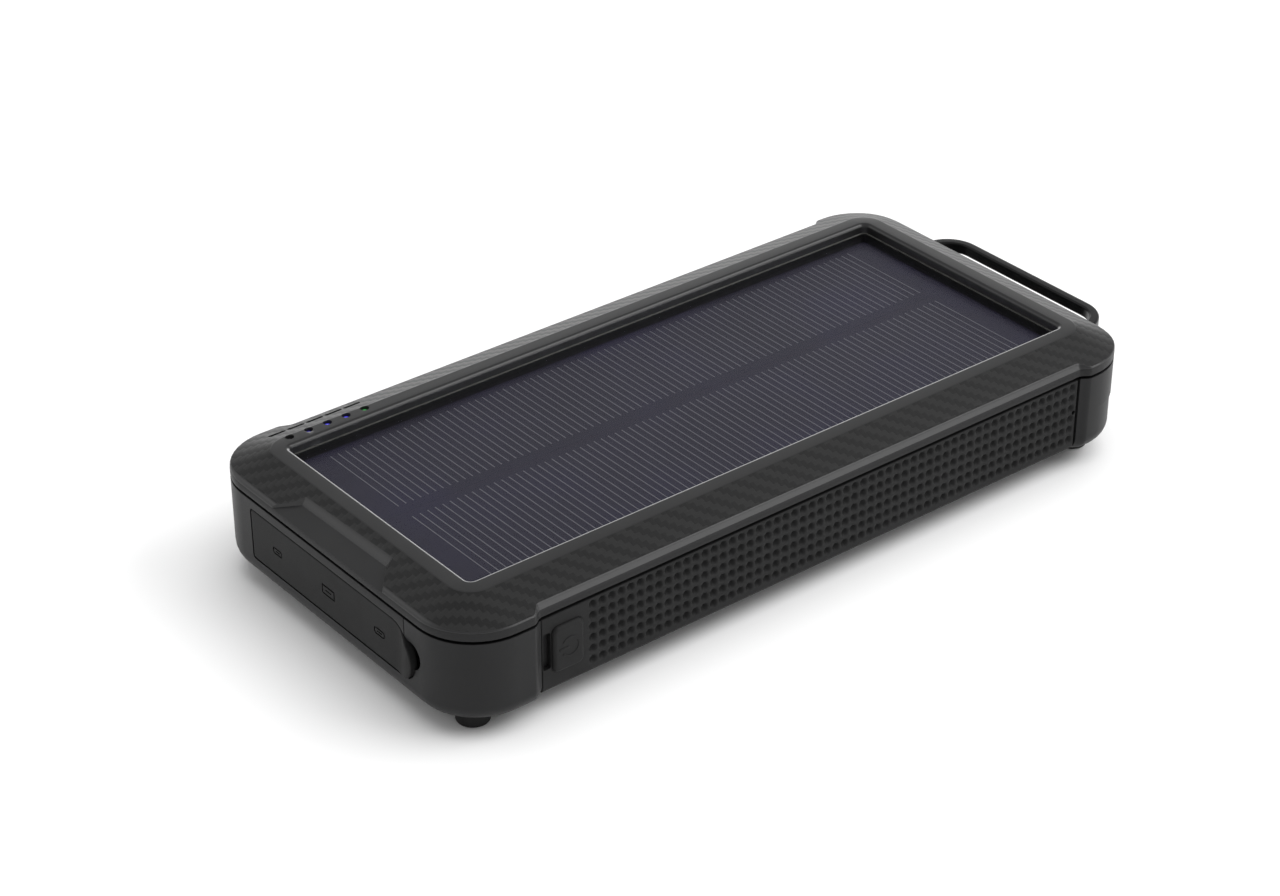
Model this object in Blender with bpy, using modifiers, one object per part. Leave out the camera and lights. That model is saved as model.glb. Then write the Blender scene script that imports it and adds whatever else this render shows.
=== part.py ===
"""Solar power bank: a battery case with a solar panel on top, a rubber flap over its sockets,
a push button on one long side and a folding carry bail at the far end.

Dimensions are in millimetres and are turned into metres when geometry is made. The origin is the
centre of the case's flat underside. +Z is the panel side, +X points to the bail, and the button is
on the -Y side.
"""
import math

import bmesh
import bpy
from mathutils import Matrix, Vector

MM = 0.001
GAP = 0.3  # clearance between neighbouring pieces
COLLECTION = "solar_power_bank"

# Case
HALF_X = 80.0
HALF_Y = 38.95
CORNER_R = 11.7
SIDE_STEP = 1.15  # the long sides are set in by this much between the corner lobes
LOBE_NEAR_X = -64.2  # where the lobes end along the long sides
LOBE_FAR_X = 66.4
LOBE_RUN = 1.3  # length of the slanted step beside each lobe
CORNER_STEPS = 8
RIM_Z = 21.7
SEAM_Z = 16.6
BOTTOM_R = 3.2
END_STEP_Z = 8.9  # the far end is set in below this height
END_STEP = 0.5

# Inside of the lower shell
FLOOR_Z = 1.6
POCKET = (76.8, 34.4, 8.0)  # half length, half width, corner radius
SEAL_SHELF = (78.5, 36.4, 9.2)
SEAL_SHELF_Z = 15.6
SEAL_OUTER = (78.2, 35.9, 8.9)
SEAL_INNER = (77.2, 34.9, 7.9)

# Solar panel and the window that it sits in
WINDOW = (69.79, 27.65, 2.0)
WINDOW_FILLET = 0.35
SMOOTH_BAND = 3.3  # width of the smooth band around the window
NOTCH_MID_Y = 0.4
NOTCH_INNER = (-75.0, 12.6, 19.7)  # x, half width and floor height at the notch's inner edge
NOTCH_OUTER = (-82.0, 20.0, 18.0)  # the same, past the end of the case
LEDGE = 3.0
LEDGE_Z = 15.9
PANEL_TOP_Z = 19.1
PANEL_SHEET = 0.5
CELL_THICK = 0.25
BOARD_THICK = 0.95
TAPE_THICK = 0.3
CELL_HALF_X = 64.5
CELL_ROW_Y = ((-24.9, 0.6), (1.6, 25.6))

# Corner screws and feet
SCREW_X, SCREW_Y = 71.9, 30.6
FOOT_R = 3.05
FOOT_DROP = 3.5  # how far the feet stand below the underside
FOOT_SEAT = 0.9
SCREW_HEAD_R, SCREW_HEAD_H = 1.9, 1.4
SCREW_HEAD_Z = 1.5
SCREW_SHAFT_R = 1.0
SCREW_TOP_Z = 18.6
PILLAR_R = 3.4
PILLAR_TOP_Z = 14.3
BOSS_R = 2.4

# Indicator lights
LED_X = (-67.35, -63.3, -59.25, -55.2, -51.15)
LED_Y = 30.2
LED_HOLE_R = 0.85
LED_MARK_Y = 33.5
LED_MARK_SIZE = (3.5, 0.9)
LED_MARK_FLOOR_Z = 20.0
PIPE_R = 0.7
PIPE_TOP_Z = 20.3

# Circuit board and sockets
BOARD_Z = 5.2
PCB_THICK = 1.2
PCB_TOP = BOARD_Z + PCB_THICK
SOCKET_FRONT_X = -78.0
# name, centre y, outer width, outer height, depth, wall, tongue width, tongue height
SOCKETS = (
    ("usb_a", 0.0, 14.0, 6.6, 13.5, 0.5, 11.0, 1.8),
    ("micro_usb", 16.0, 8.0, 3.2, 6.0, 0.4, 4.6, 0.6),
    ("usb_c", -15.5, 9.6, 3.6, 8.0, 0.4, 6.6, 0.7),
)

# Port flap
FLAP_Y = (-22.4, 24.2)
FLAP_Z = (4.3, 14.4)
FLAP_THICK = 1.4
FLAP_R = 2.4
TAB_R = 3.0
TAB_Z = 9.3
TAB_PROUD = 1.0
FINGER_R = 3.5
FINGER_Y, FINGER_Z = -24.7, 9.7
FINGER_DEPTH = 2.6

# Side grips and button
GRIP_X = (-62.4, 64.7)
GRIP_Z = (1.0, 16.1)
GRIP_OUT_Y = HALF_Y - SIDE_STEP - 0.1
GRIP_THICK = 1.25
BUTTON_X, BUTTON_Z = -56.9, 9.0
BUTTON_W, BUTTON_H = 6.5, 9.0
BUTTON_PROUD = 0.8

# Batteries
CELL_X = (-45.5, 67.8)
POUCH_HALF_Y = 33.0
POUCH_Z = ((1.9, 7.6), (8.5, 14.2))

# Bail
BAIL_PIVOT_X, BAIL_PIVOT_Z = 82.4, 13.8
BAIL_OUT_X = 89.9
BAIL_HALF_Y = 23.1
BAIL_BAR = 2.0
BAIL_THICK = 2.4
BAIL_R = 7.0
BAIL_EYE_R = 2.1
LUG_Y = (17.7, 20.7)
PIN_R = 0.75
PIN_CLEAR = 0.15

COLOURS = {
    "shell_plastic": ((0.030, 0.030, 0.032), 0.48, 0.0),
    "carbon_plastic": ((0.034, 0.034, 0.036), 0.36, 0.0),
    "rubber": ((0.024, 0.024, 0.025), 0.70, 0.0),
    "clear_sheet": ((0.55, 0.56, 0.62), 0.10, 0.0),
    "solar_cell": ((0.050, 0.045, 0.075), 0.30, 0.3),
    "circuit_board": ((0.010, 0.110, 0.050), 0.45, 0.0),
    "steel": ((0.62, 0.62, 0.63), 0.30, 1.0),
    "contact_plastic": ((0.015, 0.015, 0.016), 0.50, 0.0),
    "light_pipe": ((0.50, 0.55, 0.80), 0.15, 0.0),
    "chip": ((0.020, 0.020, 0.022), 0.45, 0.0),
    "pouch": ((0.60, 0.61, 0.62), 0.35, 0.8),
    "tape": ((0.75, 0.74, 0.70), 0.80, 0.0),
    "lead_red": ((0.55, 0.020, 0.015), 0.50, 0.0),
    "lead_black": ((0.020, 0.020, 0.020), 0.50, 0.0),
    "seal": ((0.030, 0.030, 0.030), 0.85, 0.0),
}


# ---------------------------------------------------------------- scene helpers

def clear_scene():
    for obj in list(bpy.data.objects):
        bpy.data.objects.remove(obj, do_unlink=True)


def new_collection(name):
    collection = bpy.data.collections.new(name)
    bpy.context.scene.collection.children.link(collection)
    return collection


def material(name):
    found = bpy.data.materials.get(name)
    if found:
        return found
    colour, roughness, metallic = COLOURS[name]
    made = bpy.data.materials.new(name)
    made.use_nodes = True
    shader = made.node_tree.nodes["Principled BSDF"]
    shader.inputs["Base Color"].default_value = (*colour, 1.0)
    shader.inputs["Roughness"].default_value = roughness
    shader.inputs["Metallic"].default_value = metallic
    return made


def add_object(name, mesh, slot, place=(0.0, 0.0, 0.0)):
    """Links a mesh whose coordinates are in millimetres about place, also in millimetres."""
    mesh.transform(Matrix.Scale(MM, 4))
    mesh.shade_smooth()
    mesh.set_sharp_from_angle(angle=math.radians(35))
    obj = bpy.data.objects.new(name, mesh)
    obj.location = Vector(place) * MM
    if slot:
        mesh.materials.append(material(slot))
        PARTS.objects.link(obj)
    else:
        obj.hide_render = True
        obj.display_type = "WIRE"
        CUTTERS.objects.link(obj)
    return obj


def face_outwards(bm):
    bmesh.ops.recalc_face_normals(bm, faces=bm.faces)
    if bm.calc_volume(signed=True) < 0:
        bmesh.ops.reverse_faces(bm, faces=bm.faces)


def finish(bm, name):
    face_outwards(bm)
    mesh = bpy.data.meshes.new(name)
    bm.to_mesh(mesh)
    bm.free()
    return mesh


# ---------------------------------------------------------------- outlines and solids

def case_ring(half_x, half_y, radius, z, step=0.0):
    """One loop around the case: four corner arcs, with an optional step in along the long sides."""
    points = []
    corners = ((1, 1, 0), (-1, 1, 90), (-1, -1, 180), (1, -1, 270))
    side = (
        (LOBE_FAR_X, half_y),
        (LOBE_FAR_X - LOBE_RUN, half_y - step),
        (LOBE_NEAR_X + LOBE_RUN, half_y - step),
        (LOBE_NEAR_X, half_y),
    )
    for sign_x, sign_y, start in corners:
        for i in range(CORNER_STEPS + 1):
            angle = math.radians(start + 90.0 * i / CORNER_STEPS)
            x = sign_x * (half_x - radius) + radius * math.cos(angle)
            y = sign_y * (half_y - radius) + radius * math.sin(angle)
            points.append((x, y, z))
        if start == 0:
            points += [(x, y, z) for x, y in side]
        if start == 180:
            points += [(x, -y, z) for x, y in reversed(side)]
    return points


def outer_ring(inset, z, end_inset=0.0):
    points = case_ring(HALF_X - inset, HALF_Y - inset, CORNER_R - inset, z, SIDE_STEP)
    reach = HALF_X - CORNER_R
    depth = CORNER_R - inset
    return [
        (x - end_inset * max(0.0, x - reach) / depth, y, level) for x, y, level in points
    ]


def loft(name, rings, closed=False):
    """Joins equal loops with quads; an open stack is capped at both ends."""
    bm = bmesh.new()
    loops = [[bm.verts.new(point) for point in ring] for ring in rings]
    count = len(loops[0])
    pairs = list(zip(loops, loops[1:]))
    if closed:
        pairs.append((loops[-1], loops[0]))
    for low, high in pairs:
        for i in range(count):
            j = (i + 1) % count
            bm.faces.new((low[i], low[j], high[j], high[i]))
    if not closed:
        bm.faces.new(loops[0])
        bm.faces.new(loops[-1])
    return finish(bm, name)


def box_mesh(name, low, high, bevel=0.0, segments=2):
    bm = bmesh.new()
    bmesh.ops.create_cube(bm, size=1.0)
    low, high = Vector(low), Vector(high)
    for vert in bm.verts:
        vert.co = Vector((low[i] + (high[i] - low[i]) * (vert.co[i] + 0.5) for i in range(3)))
    if bevel:
        bmesh.ops.bevel(bm, geom=bm.edges[:], offset=bevel, segments=segments,
                        profile=0.5, affect="EDGES", clamp_overlap=True)
    return finish(bm, name)


AXES = {
    "x": Matrix.Rotation(math.radians(90), 4, "Y"),
    "y": Matrix.Rotation(math.radians(90), 4, "X"),
    "z": Matrix.Identity(4),
}


def cylinder_mesh(name, centre, radius, length, axis="z", sides=16, top_radius=None):
    bm = bmesh.new()
    bmesh.ops.create_cone(bm, cap_ends=True, segments=sides, radius1=radius,
                          radius2=radius if top_radius is None else top_radius, depth=length)
    bm.transform(Matrix.Translation(centre) @ AXES[axis])
    return finish(bm, name)


def turned(name, profile, slot, place, sides=20):
    """A profile of (radius, z) pairs, listed top to bottom, turned about the vertical axis."""
    mesh = bpy.data.meshes.new(name)
    verts = [(radius * MM, 0.0, z * MM) for radius, z in profile]
    mesh.from_pydata(verts, [(i, i + 1) for i in range(len(verts) - 1)], [])
    mesh.materials.append(material(slot))
    obj = bpy.data.objects.new(name, mesh)
    obj.location = Vector(place) * MM
    PARTS.objects.link(obj)
    screw = obj.modifiers.new("turn", "SCREW")
    screw.steps = sides
    screw.render_steps = sides
    screw.use_merge_vertices = True
    screw.merge_threshold = 0.00001
    screw.use_smooth_shade = True
    return obj


def flat_outline(name, loops, thickness):
    """A flat plate from closed 2D loops in millimetres, centred on its own plane."""
    curve = bpy.data.curves.new(name, "CURVE")
    curve.dimensions = "2D"
    curve.fill_mode = "BOTH"
    curve.extrude = thickness / 2
    for loop in loops:
        spline = curve.splines.new("POLY")
        spline.points.add(len(loop) - 1)
        for point, (x, y) in zip(spline.points, loop):
            point.co = (x, y, 0.0, 1.0)
        spline.use_cyclic_u = True
    return curve_to_mesh(name, curve)


def curve_to_mesh(name, curve):
    holder = bpy.data.objects.new(name, curve)
    CUTTERS.objects.link(holder)
    graph = bpy.context.evaluated_depsgraph_get()
    mesh = bpy.data.meshes.new_from_object(holder.evaluated_get(graph))
    mesh.transform(holder.matrix_world)
    bpy.data.objects.remove(holder, do_unlink=True)
    bpy.data.curves.remove(curve)
    bm = bmesh.new()
    bm.from_mesh(mesh)
    bmesh.ops.remove_doubles(bm, verts=bm.verts, dist=0.001)
    face_outwards(bm)
    bm.to_mesh(mesh)
    bm.free()
    mesh.name = name
    return mesh


def rounded_rect(width, height, radius, steps=4):
    points = []
    for sign_x, sign_y, start in ((1, 1, 0), (-1, 1, 90), (-1, -1, 180), (1, -1, 270)):
        for i in range(steps + 1):
            angle = math.radians(start + 90.0 * i / steps)
            x = sign_x * (width / 2 - radius) + radius * math.cos(angle)
            y = sign_y * (height / 2 - radius) + radius * math.sin(angle)
            points.append((x, y))
    return points


def wire(name, slot, points, radius):
    """A lead along a smooth curve through a few points, as a tube with filled ends."""
    curve = bpy.data.curves.new(name, "CURVE")
    curve.dimensions = "3D"
    curve.bevel_depth = radius * MM
    curve.bevel_resolution = 2
    curve.use_fill_caps = True
    spline = curve.splines.new("POLY")
    path = smooth_path(points, 4)
    spline.points.add(len(path) - 1)
    for point, place in zip(spline.points, path):
        point.co = (*(place * MM), 1.0)
    curve.materials.append(material(slot))
    obj = bpy.data.objects.new(name, curve)
    PARTS.objects.link(obj)
    return obj


def smooth_path(points, steps):
    """Catmull-Rom points through the given ones."""
    nodes = [Vector(point) for point in points]
    nodes = [2 * nodes[0] - nodes[1]] + nodes + [2 * nodes[-1] - nodes[-2]]
    path = []
    for a, b, c, d in zip(nodes, nodes[1:], nodes[2:], nodes[3:]):
        for i in range(steps):
            t = i / steps
            path.append(0.5 * (2 * b + (c - a) * t + (2 * a - 5 * b + 4 * c - d) * t ** 2
                               + (3 * b - a - 3 * c + d) * t ** 3))
    path.append(nodes[-2])
    return path


def boolean(obj, mesh, operation="DIFFERENCE"):
    """Cuts with, or joins, a mesh given in millimetres in the part's frame."""
    cutter = add_object(f"{obj.name}_{operation.lower()}_{len(obj.modifiers)}", mesh, None)
    cutter.location = (0.0, 0.0, 0.0)
    change = obj.modifiers.new(operation.lower(), "BOOLEAN")
    change.operation = operation
    change.solver = "EXACT"
    change.object = cutter
    return cutter


# ---------------------------------------------------------------- case

def corner_places():
    return [(sx * SCREW_X, sy * SCREW_Y) for sx in (-1, 1) for sy in (-1, 1)]


def make_main_shell():
    rings = [
        case_ring(*POCKET, FLOOR_Z),
        case_ring(*POCKET, SEAL_SHELF_Z),
        case_ring(*SEAL_SHELF, SEAL_SHELF_Z),
        case_ring(*SEAL_SHELF, SEAM_Z - GAP),
        outer_ring(0.0, SEAM_Z - GAP),
        outer_ring(0.0, END_STEP_Z + 0.2),
        outer_ring(0.0, END_STEP_Z - 0.2, END_STEP),
    ]
    for i in range(4):
        angle = math.radians(30.0 * i)
        inset = BOTTOM_R * (1 - math.cos(angle))
        rings.append(outer_ring(inset, BOTTOM_R * (1 - math.sin(angle)), END_STEP))
    shell = add_object("main_shell", loft("main_shell", rings), "shell_plastic")
    for x, y in corner_places():
        top = PILLAR_TOP_Z
        boolean(shell, cylinder_mesh("pillar", (x, y, (top + 0.8) / 2), PILLAR_R, top - 0.8), "UNION")
    for x, y in standoff_places():
        top = BOARD_Z - GAP
        boolean(shell, cylinder_mesh("standoff", (x, y, (top + 0.8) / 2), 2.2, top - 0.8), "UNION")
    for side in (-1, 1):
        y = side * sum(LUG_Y) / 2
        width = LUG_Y[1] - LUG_Y[0]
        boolean(shell, lug_mesh(y, width), "UNION")
        boolean(shell, cylinder_mesh("lug_bore", (BAIL_PIVOT_X, y, BAIL_PIVOT_Z),
                                     PIN_R + PIN_CLEAR, width + 2, "y"))
    for x, y in corner_places():
        cut_foot_hole(shell, x, y)
    for x, y in standoff_places()[:2]:
        boolean(shell, cylinder_mesh("board_screw_hole", (x, y, 4.2), 0.9, 4.0, sides=12))
    for side in (-1, 1):
        cut_grip_recess(shell, side)
    cut_button_housing(shell)
    cut_port_recess(shell)
    return shell


def lug_mesh(y, width):
    """A bail lug: a round nose about the pivot, faired back into the end wall."""
    nose = []
    for i in range(9):
        angle = math.radians(-90 + 22.5 * i)
        nose.append((BAIL_PIVOT_X + BAIL_EYE_R * math.cos(angle),
                     BAIL_PIVOT_Z + BAIL_EYE_R * math.sin(angle)))
    root_x = HALF_X - 1.2
    outline = nose + [(root_x, BAIL_PIVOT_Z + BAIL_EYE_R), (root_x, BAIL_PIVOT_Z - BAIL_EYE_R)]
    mesh = flat_outline("lug", [outline], width)
    mesh.transform(Matrix.Translation((0.0, y, 0.0)) @ AXES["y"])
    return mesh


def cut_foot_hole(shell, x, y):
    boolean(shell, cylinder_mesh("foot_seat", (x, y, FOOT_SEAT / 2 - 1), FOOT_R + GAP,
                                 FOOT_SEAT + 2, sides=20))
    head_top = SCREW_HEAD_Z + SCREW_HEAD_H + GAP
    boolean(shell, cylinder_mesh("counterbore", (x, y, head_top / 2), SCREW_HEAD_R + GAP, head_top))
    boolean(shell, cylinder_mesh("screw_bore", (x, y, 9.0), SCREW_SHAFT_R + GAP, 16.0, sides=12))


def cut_grip_recess(shell, side):
    inner = GRIP_OUT_Y - GRIP_THICK - GAP
    low = (GRIP_X[0] - GAP, inner, GRIP_Z[0] - GAP)
    high = (GRIP_X[1] + GAP, HALF_Y + 2, SEAM_Z + 2)
    mesh = box_mesh("grip_recess", low, high)
    if side < 0:
        mesh.transform(Matrix.Scale(-1, 4, (0, 1, 0)))
        mesh.flip_normals()
    boolean(shell, mesh)


def cut_button_housing(shell):
    flange = (BUTTON_W + 1.6 + 2 * GAP, BUTTON_H + 1.6 + 2 * GAP)
    back = GRIP_OUT_Y - GRIP_THICK - GAP
    low = (BUTTON_X - flange[0] / 2, -back - 0.5, BUTTON_Z - flange[1] / 2)
    high = (BUTTON_X + flange[0] / 2, -back + 1.2, BUTTON_Z + flange[1] / 2)
    boolean(shell, box_mesh("button_housing", low, high))
    boolean(shell, cylinder_mesh("stem_hole", (BUTTON_X, -34.5, BUTTON_Z), 1.6, 4.0, "y"))


def cut_port_recess(shell):
    """The flap's recess in the end wall, the finger scoop beside it and the socket mouths."""
    width = FLAP_Y[1] - FLAP_Y[0] + 2 * GAP
    height = FLAP_Z[1] - FLAP_Z[0] + 2 * GAP
    mesh = flat_outline("flap_recess", [rounded_rect(width, height, FLAP_R + GAP)],
                        2 * (FLAP_THICK + GAP))
    mesh.transform(end_wall_matrix(-HALF_X, sum(FLAP_Y) / 2, sum(FLAP_Z) / 2))
    boolean(shell, mesh)
    boolean(shell, cylinder_mesh("finger_scoop", (-HALF_X, FINGER_Y, FINGER_Z), FINGER_R,
                                 2 * FINGER_DEPTH, "x", 20))
    boolean(shell, cylinder_mesh("tab_clearance", (-HALF_X, FLAP_Y[0], TAB_Z), TAB_R + GAP,
                                 2 * (FLAP_THICK + GAP), "x", 20))
    for name, y, wide, high, *_ in SOCKETS:
        z = PCB_TOP + GAP + high / 2
        mesh = flat_outline(f"{name}_mouth", [rounded_rect(wide + 2 * GAP, high + 2 * GAP, 0.9)], 8.0)
        mesh.transform(end_wall_matrix(-HALF_X + 3.0, y, z))
        boolean(shell, mesh)
    low = (-HALF_X + 1, FLAP_Y[1] - 2.2, TAB_Z - 3.0)
    boolean(shell, box_mesh("anchor_slot", low, (-HALF_X + 5, FLAP_Y[1] - 0.8, TAB_Z + 3.0)))


def end_wall_matrix(x, y, z):
    """Stands a flat outline up on the end wall, its width along Y and its height along Z."""
    turn = Matrix(((0, 0, 1, x), (1, 0, 0, y), (0, 1, 0, z), (0, 0, 0, 1)))
    return turn


def make_top_cover():
    half_x, half_y, radius = WINDOW
    fillet = WINDOW_FILLET
    band = SMOOTH_BAND
    rings = [
        outer_ring(0.0, SEAM_Z + 0.1),
        outer_ring(0.0, 17.5),
        outer_ring(0.1, 18.3),
        outer_ring(0.55, 18.9),
        case_ring(half_x + band, half_y + band, radius + band, RIM_Z - 0.1),
        case_ring(half_x + fillet, half_y + fillet, radius + fillet, RIM_Z),
        case_ring(half_x, half_y, radius, RIM_Z - fillet),
        case_ring(half_x, half_y, radius, LEDGE_Z),
        case_ring(half_x - LEDGE, half_y - LEDGE, 1.0, LEDGE_Z),
        case_ring(half_x - LEDGE, half_y - LEDGE, 1.0, LEDGE_Z - 1.3),
        case_ring(half_x + 1.3, half_y + 1.3, radius + 1.3, LEDGE_Z - 1.3),
        case_ring(half_x + 1.3, half_y + 1.3, radius + 1.3, 19.2),
        case_ring(76.6, 34.2, 7.4, 17.9),
        case_ring(76.6, 34.2, 7.4, SEAM_Z + 0.4),
        case_ring(78.8, 36.7, 9.4, SEAM_Z + 0.4),
        case_ring(78.8, 36.7, 9.4, SEAM_Z + 0.1),
    ]
    cover = add_object("top_cover", loft("top_cover", rings, closed=True), "carbon_plastic")
    for x, y in corner_places():
        low = PILLAR_TOP_Z + GAP
        boolean(cover, cylinder_mesh("boss", (x, y, (low + 20.0) / 2), BOSS_R, 20.0 - low), "UNION")
    for x, y in corner_places():
        top = SCREW_TOP_Z + GAP
        boolean(cover, cylinder_mesh("pilot", (x, y, (14.0 + top) / 2), SCREW_SHAFT_R + GAP,
                                     top - 14.0, sides=12))
    for x in LED_X:
        boolean(cover, cylinder_mesh("led_hole", (x, LED_Y, 20.0), LED_HOLE_R, 6.0, sides=12))
        boolean(cover, led_mark_mesh(x))
    boolean(cover, notch_mesh())
    return cover


def led_mark_mesh(x):
    """A short slot in the sloping band, outboard of its light."""
    length, width = LED_MARK_SIZE
    height = 3.0
    mesh = flat_outline("led_mark", [rounded_rect(length, width, 0.45 * width, 2)], height)
    mesh.transform(Matrix.Translation((x, LED_MARK_Y, LED_MARK_FLOOR_Z + height / 2)))
    return mesh


def notch_mesh():
    """The finger notch in the near end's slope: a wedge that widens towards the end."""
    bm = bmesh.new()
    bmesh.ops.create_cube(bm, size=2.0)
    for vert in bm.verts:
        x, half, floor = NOTCH_INNER if vert.co.x > 0 else NOTCH_OUTER
        height = RIM_Z + 2.3 if vert.co.z > 0 else floor
        vert.co = Vector((x, vert.co.y * half + NOTCH_MID_Y, height))
    return finish(bm, "notch")


def make_case_seal():
    low, high = SEAL_SHELF_Z + GAP, SEAM_Z + 0.4 - GAP
    rings = [
        case_ring(*SEAL_OUTER, low),
        case_ring(*SEAL_OUTER, high),
        case_ring(*SEAL_INNER, high),
        case_ring(*SEAL_INNER, low),
    ]
    add_object("case_seal", loft("case_seal", rings, closed=True), "seal")


def make_corner_hardware():
    """Four rubber feet, each covering the screw that clamps cover and shell together."""
    for index, (x, y) in enumerate(corner_places(), 1):
        top = FOOT_SEAT - GAP
        foot = [(0.0, top), (FOOT_R, top), (FOOT_R, 0.5 - FOOT_DROP), (FOOT_R - 0.5, -FOOT_DROP),
                (0.0, -FOOT_DROP)]
        turned(f"foot_{index}", foot, "rubber", (x, y, 0.0), 24)
        low, high = SCREW_HEAD_Z, SCREW_HEAD_Z + SCREW_HEAD_H
        screw = [(0.0, SCREW_TOP_Z), (SCREW_SHAFT_R * 0.5, SCREW_TOP_Z), (SCREW_SHAFT_R, SCREW_TOP_Z - 0.8),
                 (SCREW_SHAFT_R, high), (SCREW_HEAD_R, high), (SCREW_HEAD_R, low), (0.0, low)]
        turned(f"case_screw_{index}", screw, "steel", (x, y, 0.0), 12)


# ---------------------------------------------------------------- solar panel

def make_solar_panel():
    half_x = WINDOW[0] - GAP
    half_y = WINDOW[1] - GAP
    levels = []
    top = PANEL_TOP_Z
    for thickness in (PANEL_SHEET, CELL_THICK, BOARD_THICK, TAPE_THICK):
        levels.append((top - thickness, top))
        top -= thickness + GAP
    add_slab("solar_window", "clear_sheet", half_x, half_y, levels[0])
    for name, (low_y, high_y) in zip(("solar_cell_row_1", "solar_cell_row_2"), CELL_ROW_Y):
        low = (-CELL_HALF_X, low_y, levels[1][0])
        add_object(name, box_mesh(name, low, (CELL_HALF_X, high_y, levels[1][1])), "solar_cell")
    add_slab("solar_backing_board", "circuit_board", half_x, half_y, levels[2])
    rings = []
    for inset, z in ((0.0, levels[3][0]), (0.0, levels[3][1]), (2.4, levels[3][1]), (2.4, levels[3][0])):
        rings.append(case_ring(half_x - inset, half_y - inset, 1.0, z))
    add_object("panel_tape", loft("panel_tape", rings, closed=True), "tape")


def add_slab(name, slot, half_x, half_y, level):
    rings = [case_ring(half_x, half_y, WINDOW[2] - GAP, z) for z in level]
    return add_object(name, loft(name, rings), slot)


# ---------------------------------------------------------------- electronics

def standoff_places():
    return [(-51.0, -20.0), (-51.0, 20.0), (-73.5, -23.5), (-73.5, 23.5)]


def make_circuit_board():
    half_y, neck = 33.4, 26.6
    back, notch, front = -48.3, -68.2, -76.2
    outline = [(back, -half_y), (back, half_y), (notch, half_y), (notch, neck), (front, neck),
               (front, -neck), (notch, -neck), (notch, -half_y)]
    mesh = flat_outline("main_circuit_board", [outline], PCB_THICK)
    mesh.transform(Matrix.Translation((0.0, 0.0, BOARD_Z + PCB_THICK / 2)))
    board = add_object("main_circuit_board", mesh, "circuit_board")
    for index, (x, y) in enumerate(standoff_places()[:2], 1):
        boolean(board, cylinder_mesh("board_hole", (x, y, BOARD_Z), 0.95, 6.0, sides=12))
        top = PCB_TOP + 0.3
        screw = [(0.0, top + 0.9), (1.5, top + 0.9), (1.7, top), (0.6, top), (0.6, 2.8), (0.0, 2.5)]
        turned(f"board_screw_{index}", screw, "steel", (x, y, 0.0), 12)


def make_sockets():
    """Each socket is a folded metal shell, open at both ends, around a plastic contact block."""
    for name, y, wide, high, depth, wall, tongue_w, tongue_h in SOCKETS:
        z = PCB_TOP + GAP + high / 2
        radius = 0.5 if name == "usb_a" else min(high / 2 - 0.1, 1.2)
        outer = rounded_rect(wide, high, radius)
        inner = rounded_rect(wide - 2 * wall, high - 2 * wall, max(radius - wall, 0.15))
        mesh = flat_outline(f"{name}_shell", [outer, inner], depth)
        mesh.transform(end_wall_matrix(SOCKET_FRONT_X + depth / 2, y, z))
        add_object(f"{name}_shell", mesh, "steel")
        block = (wide / 2 - wall - 0.25, high / 2 - wall - 0.25)
        back = SOCKET_FRONT_X + depth
        root = box_mesh("root", (back - depth * 0.3, y - block[0], z - block[1]),
                        (back - 0.2, y + block[0], z + block[1]))
        obj = add_object(f"{name}_contact_block", root, "contact_plastic")
        tongue = box_mesh("tongue", (SOCKET_FRONT_X + 2.2, y - tongue_w / 2, z - tongue_h / 2),
                          (back - 0.5, y + tongue_w / 2, z + tongue_h / 2))
        boolean(obj, tongue, "UNION")


def make_board_parts():
    base = PCB_TOP + GAP
    for name, slot, low, size, bevel in (
        ("charge_controller", "chip", (-60.5, 8.5), (6.0, 6.0, 0.9), 0.1),
        ("boost_inductor", "chip", (-60.5, -12.5), (7.0, 7.0, 4.0), 0.7),
        ("battery_protection_chip", "chip", (-53.4, 9.5), (3.0, 4.4, 1.1), 0.1),
    ):
        high = (low[0] + size[0], low[1] + size[1], base + size[2])
        add_object(name, box_mesh(name, (*low, base), high, bevel, 1), slot)
    for index, y in enumerate((-1.5, 3.8), 1):
        can = [(0.0, base + 5.4), (1.7, base + 5.4), (2.0, base + 5.1), (2.0, base), (0.0, base)]
        turned(f"filter_capacitor_{index}", can, "pouch", (-57.5, y, 0.0), 16)


def make_indicators():
    base = PCB_TOP + GAP
    for index, x in enumerate(LED_X, 1):
        led = box_mesh("led", (x - 0.8, LED_Y - 0.4, base), (x + 0.8, LED_Y + 0.4, base + 0.7))
        add_object(f"indicator_led_{index}", led, "light_pipe")
        low = base + 1.0
        pipe = cylinder_mesh("pipe", (x, LED_Y, (low + PIPE_TOP_Z) / 2), PIPE_R, PIPE_TOP_Z - low,
                             sides=12)
        add_object(f"light_pipe_{index}", pipe, "light_pipe")


# ---------------------------------------------------------------- grips and button

def make_grips():
    low_y, high_y = GRIP_OUT_Y - GRIP_THICK, GRIP_OUT_Y
    for name, side in (("side_grip_button_side", -1), ("side_grip_plain_side", 1)):
        low = (GRIP_X[0], min(side * low_y, side * high_y), GRIP_Z[0])
        high = (GRIP_X[1], max(side * low_y, side * high_y), GRIP_Z[1])
        grip = add_object(name, box_mesh(name, low, high), "rubber")
        round_lower_edge(grip, side)
        if side < 0:
            outline = rounded_rect(BUTTON_W + 2 * GAP, BUTTON_H + 2 * GAP, 1.4)
            mesh = flat_outline("button_opening", [outline], 6.0)
            mesh.transform(Matrix.Translation((BUTTON_X, -GRIP_OUT_Y, BUTTON_Z)) @ AXES["y"])
            boolean(grip, mesh)


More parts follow.
